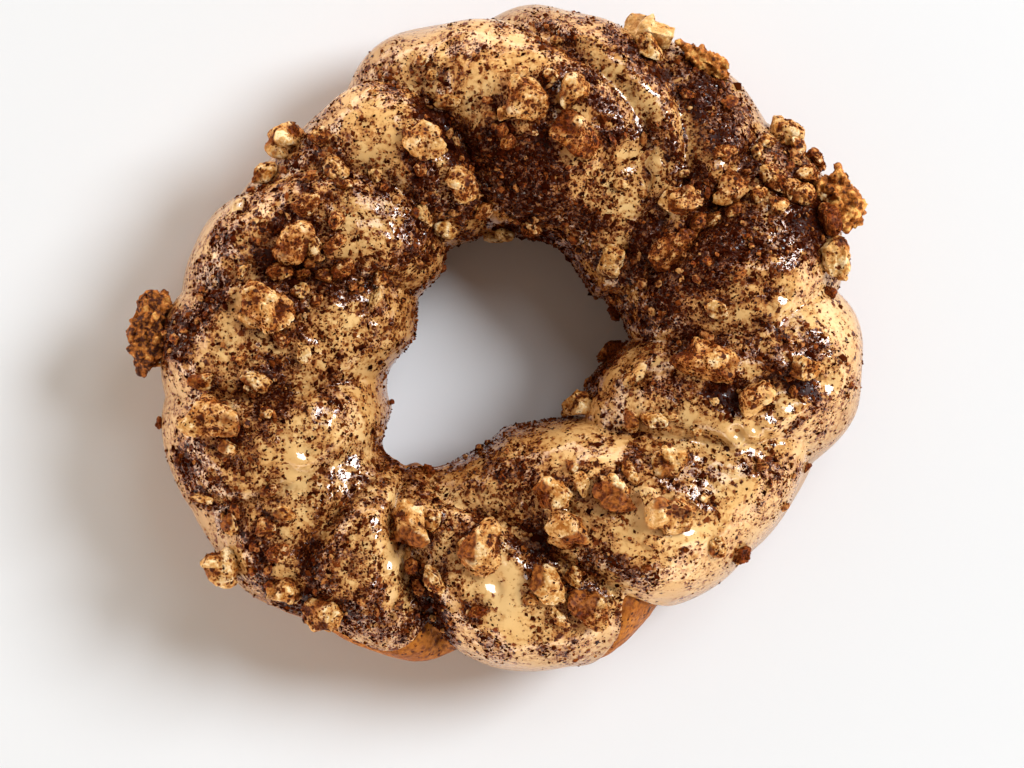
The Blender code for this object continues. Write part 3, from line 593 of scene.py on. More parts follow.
def blend_lobes(angle, station, values):
    """A value for each lobe, carried smoothly round the ring from one lobe's middle to the next."""
    middles = lobe_middles(station)
    values = np.array([*values, values[0]])
    angle = middles[0] + (angle - middles[0]) % TURN
    index = np.searchsorted(middles, angle, side="right") - 1
    ends = np.append(middles, middles[0] + TURN)
    part = smooth_step(angle, ends[index], ends[index + 1])
    return values[index] + (values[index + 1] - values[index]) * part


def groove_depth(angle, over, distance):
    """How far the surface lies below the lobes' crests, from the creases on either side."""
    creases = crease_values(ANGLES, over)
    depths = crease_values(DEPTHS, over)
    angle = creases[0] + (angle - creases[0]) % TURN
    index = (creases[1:-1] <= angle).sum(axis=0)
    column = np.arange(len(angle))
    width = creases[index + 1, column] - creases[index, column]
    part = (angle - creases[index, column]) / width
    start, end = depths[index, column], depths[index + 1, column]
    sunk = np.maximum(0.0, 1 - np.radians(width) * distance / NARROW_LOBE)
    return (start + (end - start) * part) * (sunk + (1 - sunk) * abs(2 * part - 1) ** LOBE_ROUNDNESS)


def rounded(wave):
    """A sine or cosine pushed outwards, which makes the section squarer."""
    return np.sign(wave) * abs(wave) ** (2 / SQUARENESS)


def ring_surface(angle, over, grow):
    """Points of the ring at angles round it and degrees over the tube, `grow` proud of the frame."""
    rim = blend_lobes(angle, 0, [lobe.rim for lobe in LOBES])
    crest = blend_lobes(angle, 2, [lobe.crest for lobe in LOBES])
    hole = blend_lobes(angle, 4, [lobe.hole for lobe in LOBES])
    middle = (rim + hole) / 2
    sine = np.sin(np.radians(over))
    across = rounded(np.cos(np.radians(over))) * (rim - hole) / 2
    upward = rounded(sine) * np.where(sine > 0, crest - TUBE_MIDDLE, UNDERSIDE)
    outward = np.column_stack((np.cos(np.radians(angle)), np.sin(np.radians(angle))))
    plain = np.column_stack((outward * (middle + across)[:, None], upward))
    lump = LUMP_HEIGHT * waves(plain, LUMP_SIZE)
    reach = np.hypot(across, upward)
    scale = (reach - groove_depth(angle, over, middle + across) + lump + grow) / reach
    flat = np.array(RING_MIDDLE) + outward * (middle + across * scale)[:, None]
    height = np.maximum(TUBE_MIDDLE + upward * scale, 0.0)
    points = np.column_stack((flat, height))
    lift = strokes_at(to_pixels(points), RELIEF) * smooth_step(sine, 0.0, 0.5)
    points[:, 2] += lift
    return points


def glaze_edge(angle, corners, seed):
    """The glaze's edge over the tube at each angle: its corners rounded, with a small waver."""
    places, overs = np.array(corners, float).T
    steps = np.linspace(-1.5, 1.5, 5)
    level = sum(np.interp(angle + step, places, overs, period=TURN) for step in steps) / len(steps)
    turns = np.radians(angle)
    circle = np.column_stack((np.cos(turns), np.sin(turns), np.full(len(angle), seed)))
    return level + EDGE_WAVE * (waves(circle, 0.16) + 0.5 * waves(circle, 0.06))


def grid_faces(rows, columns, closed_rows):
    """Quads of a grid whose columns run round and close, and its rows too if asked."""
    last = rows if closed_rows else rows - 1
    row, column = np.meshgrid(np.arange(last), np.arange(columns), indexing="ij")
    above, after = (row + 1) % rows, (column + 1) % columns
    quads = np.stack((row * columns + column, row * columns + after,
                      above * columns + after, above * columns + column), axis=-1)
    return quads.reshape(-1, 4)


# ---------------------------------------------------------------- meshes

Surface = namedtuple("Surface", "points faces normals")


def new_piece(name, points, faces, material, slot, smooth=True, **attributes):
    """A piece from arrays in millimetres, riding on the doughnut's body."""
    mesh = bpy.data.meshes.new(name)
    corners = faces.shape[1]
    mesh.vertices.add(len(points))
    mesh.vertices.foreach_set("co", (points * MM).astype(np.float32).ravel())
    mesh.loops.add(faces.size)
    mesh.loops.foreach_set("vertex_index", faces.astype(np.int32).ravel())
    mesh.polygons.add(len(faces))
    mesh.polygons.foreach_set("loop_start", np.arange(0, faces.size, corners, dtype=np.int32))
    mesh.polygons.foreach_set("use_smooth", np.full(len(faces), smooth))
    mesh.update(calc_edges=True)
    for key, values in attributes.items():
        attribute = mesh.attributes.new(key, 'FLOAT', 'POINT')
        attribute.data.foreach_set("value", np.asarray(values, np.float32))
    mesh.materials.append(material)
    piece = bpy.data.objects.new(name, mesh)
    bpy.context.scene.collection.objects.link(piece)
    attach(piece, BODY)
    return piece


def surface_of(mesh, number=np.float32):
    """A mesh's points in millimetres, its triangles and its points' normals."""
    points = np.empty(len(mesh.vertices) * 3, np.float32)
    mesh.vertices.foreach_get("co", points)
    normals = np.empty(len(mesh.vertices) * 3, np.float32)
    mesh.vertices.foreach_get("normal", normals)
    mesh.calc_loop_triangles()
    faces = np.empty(len(mesh.loop_triangles) * 3, np.int32)
    mesh.loop_triangles.foreach_get("vertices", faces)
    return Surface(points.reshape(-1, 3).astype(number) / MM, faces.reshape(-1, 3),
                   normals.reshape(-1, 3).astype(number))


def joined(parts):
    """Several pairs of points and faces as one."""
    starts = np.cumsum([0] + [len(points) for points, _ in parts[:-1]])
    points = np.concatenate([points for points, _ in parts])
    return points, np.concatenate([faces + start for (_, faces), start in zip(parts, starts)])


def read_attribute(piece, name):
    """The values of one point attribute."""
    values = np.empty(len(piece.data.vertices), np.float32)
    piece.data.attributes[name].data.foreach_get("value", values)
    return values


def ball(detail):
    """Points and triangles of a ball of radius 1."""
    shape = bmesh.new()
    bmesh.ops.create_icosphere(shape, subdivisions=detail, radius=1.0)
    points = np.array([vertex.co for vertex in shape.verts])
    faces = np.array([[vertex.index for vertex in face.verts] for face in shape.faces])
    shape.free()
    return points, faces


# ---------------------------------------------------------------- materials

class Look3D:
    """One procedural material, with short ways to add its nodes. Sizes are in millimetres."""

    def __init__(self, name, roughness=0.5, specular=0.5):
        self.material = bpy.data.materials.new(name)
        self.material.use_nodes = True
        self.tree = self.material.node_tree
        self.shader = self.tree.nodes["Principled BSDF"]
        self.shader.inputs["Roughness"].default_value = roughness
        self.shader.inputs["Specular IOR Level"].default_value = specular
        self.place = self.add("ShaderNodeTexCoord").outputs["Object"]

    def add(self, kind, **settings):
        """A new node with its settings."""
        node = self.tree.nodes.new(kind)
        for key, value in settings.items():
            setattr(node, key, value)
        return node

    def feed(self, socket, value):
        """Link a socket to another one, or give it a fixed value."""
        if isinstance(value, bpy.types.NodeSocket):
            self.tree.links.new(value, socket)
        elif isinstance(value, tuple) and len(value) == 3 and socket.type == 'RGBA':
            socket.default_value = (*value, 1.0)
        else:
            socket.default_value = value

    def maths(self, operation, *values):
        """One step of arithmetic."""
        node = self.add("ShaderNodeMath", operation=operation)
        for socket, value in zip(node.inputs, values):
            self.feed(socket, value)
        return node.outputs[0]

    def ramp(self, value, low, high, start=0.0, end=1.0):
        """A smooth rise from start to end as the value goes from low to high."""
        node = self.add("ShaderNodeMapRange", interpolation_type='SMOOTHSTEP')
        for socket, given in zip(node.inputs, (value, low, high, start, end)):
            self.feed(socket, given)
        return node.outputs[0]

    def mix(self, factor, first, second, blend='MIX'):
        """A blend of two colours."""
        node = self.add("ShaderNodeMix", data_type='RGBA', blend_type=blend)
        for key, value in ((0, factor), (6, first), (7, second)):
            self.feed(node.inputs[key], value)
        return node.outputs[2]

    def attribute(self, name):
        """A value stored at the mesh's points."""
        return self.add("ShaderNodeAttribute", attribute_name=name).outputs["Fac"]

    def noise(self, size, detail=2.0, offset=0.0, colour=False):
        """Soft noise, 0 to 1, around 0.5."""
        place = self.place
        if offset:
            shift = self.add("ShaderNodeVectorMath", operation='ADD')
            self.feed(shift.inputs[0], place)
            shift.inputs[1].default_value = (offset, offset, offset)
            place = shift.outputs[0]
        node = self.add("ShaderNodeTexNoise")
        self.feed(node.inputs["Vector"], place)
        node.inputs["Scale"].default_value = 1 / (size * MM)
        node.inputs["Detail"].default_value = detail
        return node.outputs["Color" if colour else "Fac"]

    def specks(self, size, share, smallest=0.12, largest=0.50):
        """Ragged specks, at most one in each cell of that size, in a share of the cells.

        It returns where the specks are, how near one is, and each one's tone.
        """
        wander = self.add("ShaderNodeVectorMath", operation='MULTIPLY_ADD')
        self.feed(wander.inputs[0], self.noise(size * 0.45, 2.0, colour=True))
        wander.inputs[1].default_value = (size * MM * 0.6,) * 3
        self.feed(wander.inputs[2], self.place)
        cells = self.add("ShaderNodeTexVoronoi")
        self.feed(cells.inputs["Vector"], wander.outputs[0])
        cells.inputs["Scale"].default_value = 1 / (size * MM)
        chance = self.add("ShaderNodeSeparateColor")
        self.feed(chance.inputs[0], cells.outputs["Color"])
        radius = self.ramp(chance.outputs[1], 0.0, 1.0, smallest, largest)
        depth = self.maths('SUBTRACT', radius, cells.outputs["Distance"])
        shown = self.maths('LESS_THAN', chance.outputs[0], share)
        inside = self.maths('MULTIPLY', self.ramp(depth, -0.03, 0.06), shown)
        near = self.maths('MULTIPLY', self.ramp(depth, -0.35, 0.0), shown)
        return inside, near, chance.outputs[2]

    def bump(self, height, depth, normal=None):
        """A bump of that depth in millimetres from a height between 0 and 1."""
        node = self.add("ShaderNodeBump")
        node.inputs["Distance"].default_value = depth * MM
        self.feed(node.inputs["Height"], height)
        if normal:
            self.feed(node.inputs["Normal"], normal)
        return node.outputs[0]

    def finish(self, colour, roughness=None, normal=None):
        """Give the shader its colour, roughness and bump."""
        self.feed(self.shader.inputs["Base Color"], colour)
        if roughness is not None:
            self.feed(self.shader.inputs["Roughness"], roughness)
        if normal is not None:
            self.feed(self.shader.inputs["Normal"], normal)
        return self.material


SPICE_DARK = (0.013, 0.0018, 0.0005)
SPICE_RUST = (0.19, 0.040, 0.008)
GLAZE_PALE = (0.875, 0.560, 0.232)
GLAZE_DEEP = (0.775, 0.450, 0.163)
GLAZE_OUTSIDE = (0.40, 0.228, 0.108)    # thin glaze on the rim, and painted shade on the ring's outer sides
GLAZE_INSIDE = (0.50, 0.20, 0.045)      # thin in the hole
# What a film of spice, a thick stain, a soaked clump and a stain round a speck let through; in creases they
# paint shade too
FILM = (0.76, 0.62, 0.50)
STAIN = (0.50, 0.34, 0.27)
SOAKED = (0.14, 0.055, 0.045)
HALO = (0.66, 0.44, 0.29)
# Layers of specks: the size of a cell, and the share of cells with a speck where the spice is full
GLAZE_SPECKS = ((0.27, 0.60), (0.40, 0.62), (0.64, 0.52), (1.0, 0.34))
FINE_SPECK = 0.5                        # smaller ones are few on bare glaze
SPICE_TINT = (0.04, 0.012, 0.006)       # of the little gloss that dry spice has


def glaze_specks(look, colour, cover, local):
    """The glaze's colour with specks of spice on it, and how far spice covers it.

    Where the spice lies thin, its specks are larger and redder.
    """
    rusty = look.ramp(local, 0.15, 0.6, 1.6, 1.0)
    rusty = look.maths('MULTIPLY', rusty, look.ramp(local, 0.7, 1.2, 1.0, 0.25))
    fine = look.ramp(local, 0.12, 0.6, 0.25, 1.0)
    large = look.ramp(local, 0.12, 0.6, 1.35, 1.0)
    for size, push in GLAZE_SPECKS:
        share = look.maths('MULTIPLY', local, push)
        share = look.maths('MULTIPLY', share, fine if size < FINE_SPECK else large)
        speck, near, tone = look.specks(size, share)
        colour = look.mix(near, colour, HALO, 'MULTIPLY')
        spice = look.mix(look.maths('MULTIPLY', tone, rusty), SPICE_DARK, SPICE_RUST)
        colour = look.mix(speck, colour, spice)
        cover = look.maths('MAXIMUM', cover, speck)
    return colour, cover


def glaze_material():
    """Glossy caramel glaze with spice on it, some of it soaked through."""
    look = Look3D("caramel_glaze", specular=0.80)
    names = ("dust", "wet", "outside", "inside")
    dust, wet, outside, inside = (look.attribute(name) for name in names)
    colour = look.mix(look.ramp(look.noise(7.0, 2.0), 0.35, 0.65), GLAZE_DEEP, GLAZE_PALE)
    # Painted shade: the ring's outer sides turn a darker, greyer tan, partly for the thinner glaze there
    colour = look.mix(outside, colour, GLAZE_OUTSIDE)
    colour = look.mix(inside, colour, GLAZE_INSIDE)
    clumps = look.maths('MULTIPLY', look.maths('SUBTRACT', look.noise(0.7, 4.0, 0.3), 0.5), 1.9)
    # The spice and wet values also carry painted shade in creases and at the feet of nuts, so the darkening
    # below paints it there
    local = look.maths('ADD', clumps, look.maths('MULTIPLY_ADD', wet, 0.5, dust))
    colour = look.mix(look.ramp(local, 0.05, 0.55), colour, FILM, 'MULTIPLY')
    colour = look.mix(look.ramp(local, 0.50, 1.05), colour, STAIN, 'MULTIPLY')
    stained = look.ramp(local, 0.98, 1.45)
    colour = look.mix(stained, colour, SOAKED, 'MULTIPLY')
    colour, cover = glaze_specks(look, colour, stained, local)
    dry = look.ramp(look.noise(0.5, 2.0, 2.3), 0.56, 0.66, 1.0, 0.15)
    dull = look.maths('MULTIPLY', cover, dry)
    dull = look.maths('MULTIPLY', dull, look.ramp(wet, 0.2, 0.8, 1.0, 0.8))
    dull = look.maths('MAXIMUM', dull, look.maths('MULTIPLY', outside, 0.5))
    look.feed(look.shader.inputs["Specular Tint"], look.mix(dull, (1.0,) * 3, SPICE_TINT))
    rough = look.ramp(dull, 0.0, 1.0, 0.12, 0.50)
    grainy = look.ramp(dust, 0.2, 0.9, 0.40, 1.0)
    rising = look.maths('MULTIPLY', look.noise(0.8, 3.0, 1.1), grainy)
    relief = look.bump(rising, 0.13)
    relief = look.bump(cover, 0.10, relief)
    return look.finish(colour, rough, relief)


CRUST_BROWN = (0.31, 0.085, 0.007)
CRUST_GOLD = (0.53, 0.185, 0.022)
CRUST_MOTTLE = (0.17, 0.040, 0.004)
CRUST_SPECK = (0.05, 0.011, 0.002)
CRUST_BELOW = (0.17, 0.05, 0.012)


def dough_material():
    """Fried crust: golden brown, darker below, with fine wrinkles and blisters."""
    look = Look3D("fried_crust", specular=0.15)
    dark = look.attribute("dark")
    patch = look.ramp(look.noise(5.0, 3.0), 0.3, 0.7)
    colour = look.mix(patch, CRUST_BROWN, CRUST_GOLD)
    colour = look.mix(look.ramp(look.noise(0.8, 4.0, 0.4), 0.42, 0.70), colour, CRUST_MOTTLE)
    for size, share in ((0.45, 0.16), (0.9, 0.10)):
        speck, near, _ = look.specks(size, share)
        colour = look.mix(near, colour, HALO, 'MULTIPLY')
        colour = look.mix(speck, colour, CRUST_SPECK)
    colour = look.mix(look.maths('MULTIPLY', dark, 0.75), colour, CRUST_BELOW)
    relief = look.bump(look.noise(0.9, 4.0, 0.2), 0.35)
    return look.finish(colour, look.ramp(look.noise(2.0, 2.0, 0.6), 0.3, 0.7, 0.42, 0.62), relief)


# The cream is pale flesh, and also painted highlight where a nut's high ridges push its tone up
NUT_CREAM = (0.93, 0.70, 0.40)
NUT_GOLD = (0.68, 0.37, 0.120)
NUT_AMBER = (0.40, 0.130, 0.016)
# Painted shade in a nut's hollows and low down
NUT_HOLLOW = (0.12, 0.026, 0.005)
SKIN_DARK = (0.12, 0.026, 0.006)
SKIN_WARM = (0.40, 0.125, 0.022)
NUT_FILM = (0.64, 0.38, 0.21)           # what the dust on a nut lets through; low down and in hollows partly painted shade
NUT_RUST = (0.16, 0.034, 0.006)


def nut_material():
    """Broken nut flesh, with brown skin, spice and glaze where the piece has them."""
    look = Look3D("chopped_nut", specular=0.10)
    skin, glazed, dust = (look.attribute(name) for name in ("skin", "glazed", "dust"))
    ridge, hollow = look.attribute("ridge"), look.attribute("hollow")
    patch = look.maths('MULTIPLY', look.maths('SUBTRACT', look.noise(1.6, 3.0, 0.6), 0.5), 3.0)
    grain = look.maths('MULTIPLY', look.maths('SUBTRACT', look.noise(0.45, 4.0, 0.2), 0.5), 2.8)
    # The ridge term paints highlight: the high, jutting parts of a nut turn toward cream
    tone = look.maths('ADD', look.maths('ADD', patch, grain), look.maths('MULTIPLY', ridge, 0.35))
    colour = look.mix(look.ramp(tone, -0.50, 0.15), NUT_AMBER, NUT_GOLD)
    colour = look.mix(look.ramp(tone, 0.15, 0.80), colour, NUT_CREAM)
    # Painted shade: the hollows and the low parts of a nut turn dark
    deep = look.ramp(look.maths('ADD', hollow, look.noise(0.6, 3.0, 0.9)), 0.75, 1.25, 0.0, 0.9)
    colour = look.mix(deep, colour, NUT_HOLLOW)
    colour = look.mix(look.maths('MULTIPLY', glazed, 0.8), colour, GLAZE_DEEP)
    brown = look.mix(look.ramp(look.noise(0.6, 4.0, 0.5), 0.35, 0.65), SKIN_DARK, SKIN_WARM)
    colour = look.mix(skin, colour, brown)
    local = look.maths('ADD', dust, look.maths('MULTIPLY', grain, 0.4))
    colour = look.mix(look.ramp(local, 0.2, 1.0), colour, NUT_FILM, 'MULTIPLY')
    shown = look.maths('MULTIPLY', local, look.ramp(skin, 0.0, 1.0, 1.0, 0.25))
    for size, push in ((0.36, 0.70), (0.54, 1.20), (0.82, 1.10)):
        speck, near, shade = look.specks(size, look.maths('MULTIPLY', shown, push), 0.2)
        colour = look.mix(near, colour, HALO, 'MULTIPLY')
        colour = look.mix(speck, colour, look.mix(shade, SPICE_DARK, NUT_RUST))
    rough = look.mix(glazed, (0.55,) * 3, (0.20,) * 3)
    rough = look.mix(skin, rough, (0.42,) * 3)
    relief = look.bump(look.noise(0.7, 4.0, 0.2), 0.28)
    return look.finish(colour, rough, relief)


CRUMB_DARK = (0.060, 0.012, 0.003)
CRUMB_BROWN = (0.46, 0.140, 0.020)
CRUMB_GOLD = (0.82, 0.43, 0.115)


def crumb_material():
    """Dark fried crumb, with rust and amber in its hollows."""
    look = Look3D("fried_crumb", specular=0.15)
    tone = look.attribute("tone")
    fine = look.maths('ADD', look.noise(0.6, 4.0), look.maths('MULTIPLY', tone, 0.25))
    colour = look.mix(look.ramp(fine, 0.38, 0.62), CRUMB_DARK, CRUMB_BROWN)
    colour = look.mix(look.ramp(fine, 0.60, 0.85), colour, CRUMB_GOLD)
    relief = look.bump(look.noise(0.5, 4.0, 0.3), 0.30)
    return look.finish(colour, look.ramp(look.noise(0.8, 2.0, 0.8), 0.3, 0.7, 0.40, 0.7), relief)


DARK_GRAIN = ((0.010, 0.0012, 0.0004), (0.075, 0.012, 0.003), 0.6)   # dark, light and roughness
RUST_GRAIN = ((0.055, 0.010, 0.002), (0.22, 0.050, 0.010), 0.7)


def spice_material(name, dark, light, roughness):
    """Grains of one kind of spice, each of its own tone."""
    look = Look3D(name, roughness=roughness, specular=0.0)
    tone = look.attribute("tone")
    grain = look.maths('MULTIPLY', tone, look.ramp(look.noise(0.3, 2.0), 0.2, 0.8, 0.6, 1.3))
    return look.finish(look.mix(grain, dark, light), look.ramp(look.noise(0.4), 0.3, 0.7, roughness, 0.6))


def floor_material():
    """Plain matt white."""
    look = Look3D("pale_floor", roughness=0.9, specular=0.1)
    lighter = tuple(min(1.0, part * 1.01) for part in FLOOR_COLOUR)
    return look.finish(look.mix(look.noise(300.0), FLOOR_COLOUR, lighter))


# ---------------------------------------------------------------- dough and glaze

def glaze_depth_in(angle, over):
    """Degrees over the tube from the nearest edge of the glaze: above 0 is under the glaze."""
    outer = glaze_edge(angle, OUTER_EDGE, 0.0)
    inner = glaze_edge(angle, INNER_EDGE, 5.0)
    folded = (over + 90.0) % TURN - 90.0
    return np.minimum(folded - outer, inner - folded)


def build_dough():
    """The whole ring of dough, a little smaller where the glaze lies on it."""
    overs = np.arange(DOUGH_ROWS) * TURN / DOUGH_ROWS
    angles = np.arange(DOUGH_COLUMNS) * TURN / DOUGH_COLUMNS
    over, angle = (array.ravel() for array in np.meshgrid(overs, angles, indexing="ij"))
    inside = smooth_step(glaze_depth_in(angle, over), -4.0, 4.0)
    points = ring_surface(angle, over, -GLAZE * inside)
    wrinkle = 0.10 * waves(points, 1.3, 3.0) + 0.12 * waves(points, 3.0, 9.0)
    bare = (1 - inside) * smooth_step(points[:, 2], 0.2, 2.5)
    points[:, :2] += (points[:, :2] - RING_MIDDLE) / 40 * (wrinkle * bare)[:, None]
    dark = smooth_step(-points[:, 2], -9.0, -1.0)
    faces = grid_faces(DOUGH_ROWS, DOUGH_COLUMNS, True)
    piece = new_piece("dough", points, faces, dough_material(), "dough", dark=dark)
    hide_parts("doughnut")


def glaze_rows():
    """Where the rows of the glaze's shown side lie between its edges, closer along the edges."""
    bead = BEAD_WIDTH / 200 * (np.arange(BEAD_ROWS) / BEAD_ROWS) ** 1.5
    middle = np.linspace(BEAD_WIDTH / 200, 1 - BEAD_WIDTH / 200, GLAZE_ROWS - 2 * BEAD_ROWS)
    return np.concatenate((bead, middle, 1 - bead[::-1]))


def glaze_bumps(points, dust):
    """How far the glaze bulges or sinks at each point. It is rougher where spice lies."""
    return (0.50 * waves(points, 4.2, 2.0) + 0.34 * waves(points, 1.7, 4.0) * (0.25 + dust)
            + 0.16 * waves(points, 0.85, 6.0) * dust)


def build_glaze(material):
    """The poured glaze as one closed body: its shown side, and its back inside the dough."""
    angles = np.arange(GLAZE_COLUMNS) * TURN / GLAZE_COLUMNS
    outer = glaze_edge(angles, OUTER_EDGE, 0.0)
    inner = glaze_edge(angles, INNER_EDGE, 5.0)
    shown = glaze_rows()
    back = np.linspace(0.985, 0.015, BACK_ROWS)
    parts = np.concatenate((shown, back))
    over = (outer + (inner - outer) * parts[:, None]).ravel()
    angle = np.tile(angles, len(parts))
    near = np.minimum(over - np.tile(outer, len(parts)), np.tile(inner, len(parts)) - over)
    rise = np.sqrt(1 - (1 - np.clip(near / BEAD_WIDTH, 0, 1)) ** 2)
    proud = BEAD * (1 - smooth_step(near, BEAD_WIDTH, BEAD_FADE))
    grow = -GLAZE_BACK + (GLAZE_BACK + proud) * rise
    grow[len(shown) * GLAZE_COLUMNS:] = -GLAZE_BACK
    points = ring_surface(angle, over, grow)
    sine, cosine = np.sin(np.radians(over)), np.cos(np.radians(over))
    dust, wet = dust_on(points, sine, cosine < 0)
    front = np.arange(len(points)) < len(shown) * GLAZE_COLUMNS
    bumps = glaze_bumps(points, dust) * front * smooth_step(near, 1.0, 12.0)
    points[:, 2] += bumps * smooth_step(sine, -0.2, 0.4)
    points = glinting(points, front * smooth_step(sine, 0.1, 0.5))
    faces = grid_faces(len(parts), GLAZE_COLUMNS, True)
    # How far the glaze faces sideways: outside it marks thin glaze and painted shade on the rim, in the hole
    # thin glaze
    thin = 1 - smooth_step(sine, 0.0, 0.9)
    outside = np.where(cosine > 0, thin, 0.0)
    inside = np.where(cosine > 0, 0.0, thin)
    return new_piece("glaze", points, faces, material, "glaze",
                     dust=dust, wet=wet, outside=outside, inside=inside)


def glinting(points, top):
    """The glaze with its glints turned to mirror the lamp into the camera."""
    pixels = to_pixels(points)
    lamp = direction(KEY_HEADING, KEY_HEIGHT)
    for glint in GLINTS:
        gap = np.linalg.norm(pixels - (glint.x, glint.y), axis=1)
        close = np.exp(-(gap / 3) ** 2) * top
        middle = (points * close[:, None]).sum(axis=0) / close.sum()
        view = np.array((*CAMERA_OVER, CAMERA_HEIGHT)) - middle
        mirror = lamp + view / np.linalg.norm(view)
        plane = middle[2] - (points[:, :2] - middle[:2]) @ mirror[:2] / mirror[2]
        points[:, 2] += GLINT_FLAT * top * np.exp(-(gap / glint.reach) ** 4) * (plane - points[:, 2])
    return points


def round_nuts():
    """Strokes of spice at the foot of every nut, moved to the lower left, away from the lamp: partly painted
    shadow.
    """
    strokes = [Stroke((bit.x, bit.y), (bit.x - 2, bit.y + 2), 0.5 * bit.length / PIXEL + 3, NUT_DUST)
               for bit in SMALL_NUTS]
    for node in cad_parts:
        if node.startswith("nut_"):
            low, high = (np.array(corner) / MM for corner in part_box(node))
            x, y = to_pixels((low + high)[None] / 2)[0]
            strokes.append(Stroke((x, y), (x - 3, y + 3), 0.25 * sum((high - low)[:2]) / PIXEL + 4, NUT_DUST))
    return strokes


def dust_on(points, facing, inner):
    """How much spice lies at each point, partly painted shade in creases and at nuts' feet, and how much of
    it has soaked up glaze.
    """
    pixels = to_pixels(points)
    drawn = strokes_at(pixels, DUST)
    clumps = (0.42 * waves(points, 5.0, 11.0) + 0.58 * waves(points, 2.2, 17.0)
              + 0.40 * waves(points, 1.1, 23.0))
    dust = DUST_BASE + DUST_PUSH * np.maximum(drawn, 0) + np.minimum(drawn, 0)
    dust += strokes_at(pixels, round_nuts()) + clumps * np.clip(dust / 0.55, 0.30, 1.0)
    dust *= np.where(inner, smooth_step(facing, -0.5, 0.3), smooth_step(facing, -0.1, 0.7))
    dust += strokes_at(pixels, [Stroke((glint.x, glint.y), (glint.x + 1, glint.y), glint.reach, GLINT_DUST)
                                for glint in GLINTS])
    wet = strokes_at(pixels, WET) * smooth_step(facing, 0.0, 0.4)
    return np.clip(dust, 0.0, 1.3), np.clip(wet, 0.0, 1.0)


# ---------------------------------------------------------------- nuts

def remeshed(node):
    """A CAD node's surface in an even, fine mesh, in millimetres."""
    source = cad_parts[node]
    twin = bpy.data.objects.new("remeshed", source.data.copy())
    bpy.context.scene.collection.objects.link(twin)
    even = twin.modifiers.new("even", 'REMESH')
    even.mode = 'VOXEL'
    even.voxel_size = NUT_VOXEL * MM
    shape = bpy.data.meshes.new_from_object(twin.evaluated_get(bpy.context.evaluated_depsgraph_get()))
    surface = surface_of(shape, float)
    plain = twin.data
    bpy.data.objects.remove(twin)
    bpy.data.meshes.remove(plain)
    bpy.data.meshes.remove(shape)
    return surface


def crumble(points, normals, rng, lump, depth, tilting):
    """Break a smooth shape into tilted lumps. It returns the new points and how deep they sink."""
    low, high = points.min(0), points.max(0)
    count = max(6, int(np.prod(high - low) / lump ** 3))
    sites = rng.uniform(low, high, (count, 3))
    tilts = rng.normal(0.0, tilting, (count, 3))
    gaps = np.linalg.norm(points[:, None] - sites[None], axis=2)
    order = np.argsort(gaps, axis=1)
    nearest = order[:, 0]
    row = np.arange(len(points))
    seam = gaps[row, order[:, 1]] - gaps[row, nearest]
    tilt = np.einsum("ij,ij->i", points - sites[nearest], tilts[nearest]) * smooth_step(seam, 0.0, 0.4 * lump)
    sink = depth * np.exp(-seam / (0.18 * lump)) - tilt
    return points - normals * sink[:, None], sink


def chop(points, rng, cuts, least, most):
    """Cut flat faces on a shape, each at a share of how far the shape reaches that way."""
    middle = points.mean(0)
    for _ in range(cuts):
        way = rng.normal(size=3)
        way /= np.linalg.norm(way)
        along = (points - middle) @ way
        beyond = np.maximum(along - along.max() * rng.uniform(least, most), 0.0)
        points = points - way * (0.94 * beyond)[:, None]
    return points


def seat(points, ground):
    """Draw the points near the glaze down into it, so that no gap shows."""
    seated = points.copy()
    for index, point in enumerate(points):
        spot, normal, _, _ = ground.find_nearest(point)
        height = (Vector(point) - spot).dot(normal)
        if height < SEAT:
            part = 1 - max(0.0, height) / SEAT
            seated[index] -= np.array(normal) * SEAT_DEPTH * part * part * (3 - 2 * part)
    return seated


def build_nut(node, material, ground, seed):
    """A chopped nut piece in place of its plain solid."""
    look = NUT_LOOKS.get(node, PLAIN_NUT)
    rng = np.random.default_rng(seed)
    points, faces, normals = remeshed(node)
    middle = points.mean(0)
    points = chop(middle + (points - middle) * NUT_SPREAD, rng, *NUT_CHOPS)
    points, large = crumble(points, normals, rng, *NUT_LUMPS)
    points, small = crumble(points, normals, rng, *NUT_GRAINS)
    rough = fibres(points, middle, seed) + 0.10 * waves(points, 0.7, seed) + ragged(points, 0.5, 0.05, seed)
    points += normals * rough[:, None]
    values = nut_attributes(look, points, middle, large + small - rough, seed)
    piece = new_piece(f"{node}_chopped", seat(points, ground), faces, material, "nut", **values)
    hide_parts(node)
    return piece


def fibres(points, middle, offset):
    """Ridges along a nut's length."""
    axes = np.linalg.svd(points - middle, full_matrices=False)[2]
    local = (points - middle) @ axes.T
    local[:, 0] /= FIBRE_STRETCH
    return FIBRE_DEPTH * waves(local, FIBRE_WIDTH, offset)


def ragged(points, size, depth, offset):
    """Noise with sharp ridges, for broken faces."""
    return depth * (0.25 - abs(waves(points, size, offset)))


def broken_ball(detail, rng):
    """A ball chopped on several sides and roughened, as broken nut is, and how deep its points sink."""
    points, faces = ball(detail)
    points = chop(points, rng, *BALL_CHOPS)
    ways = points / np.linalg.norm(points, axis=1)[:, None]
    start = rng.uniform(0, 90)
    rough = 0.16 * waves(points, 0.75, start) + ragged(points, 0.35, 0.30, start)
    return points + ways * rough[:, None], faces, -rough


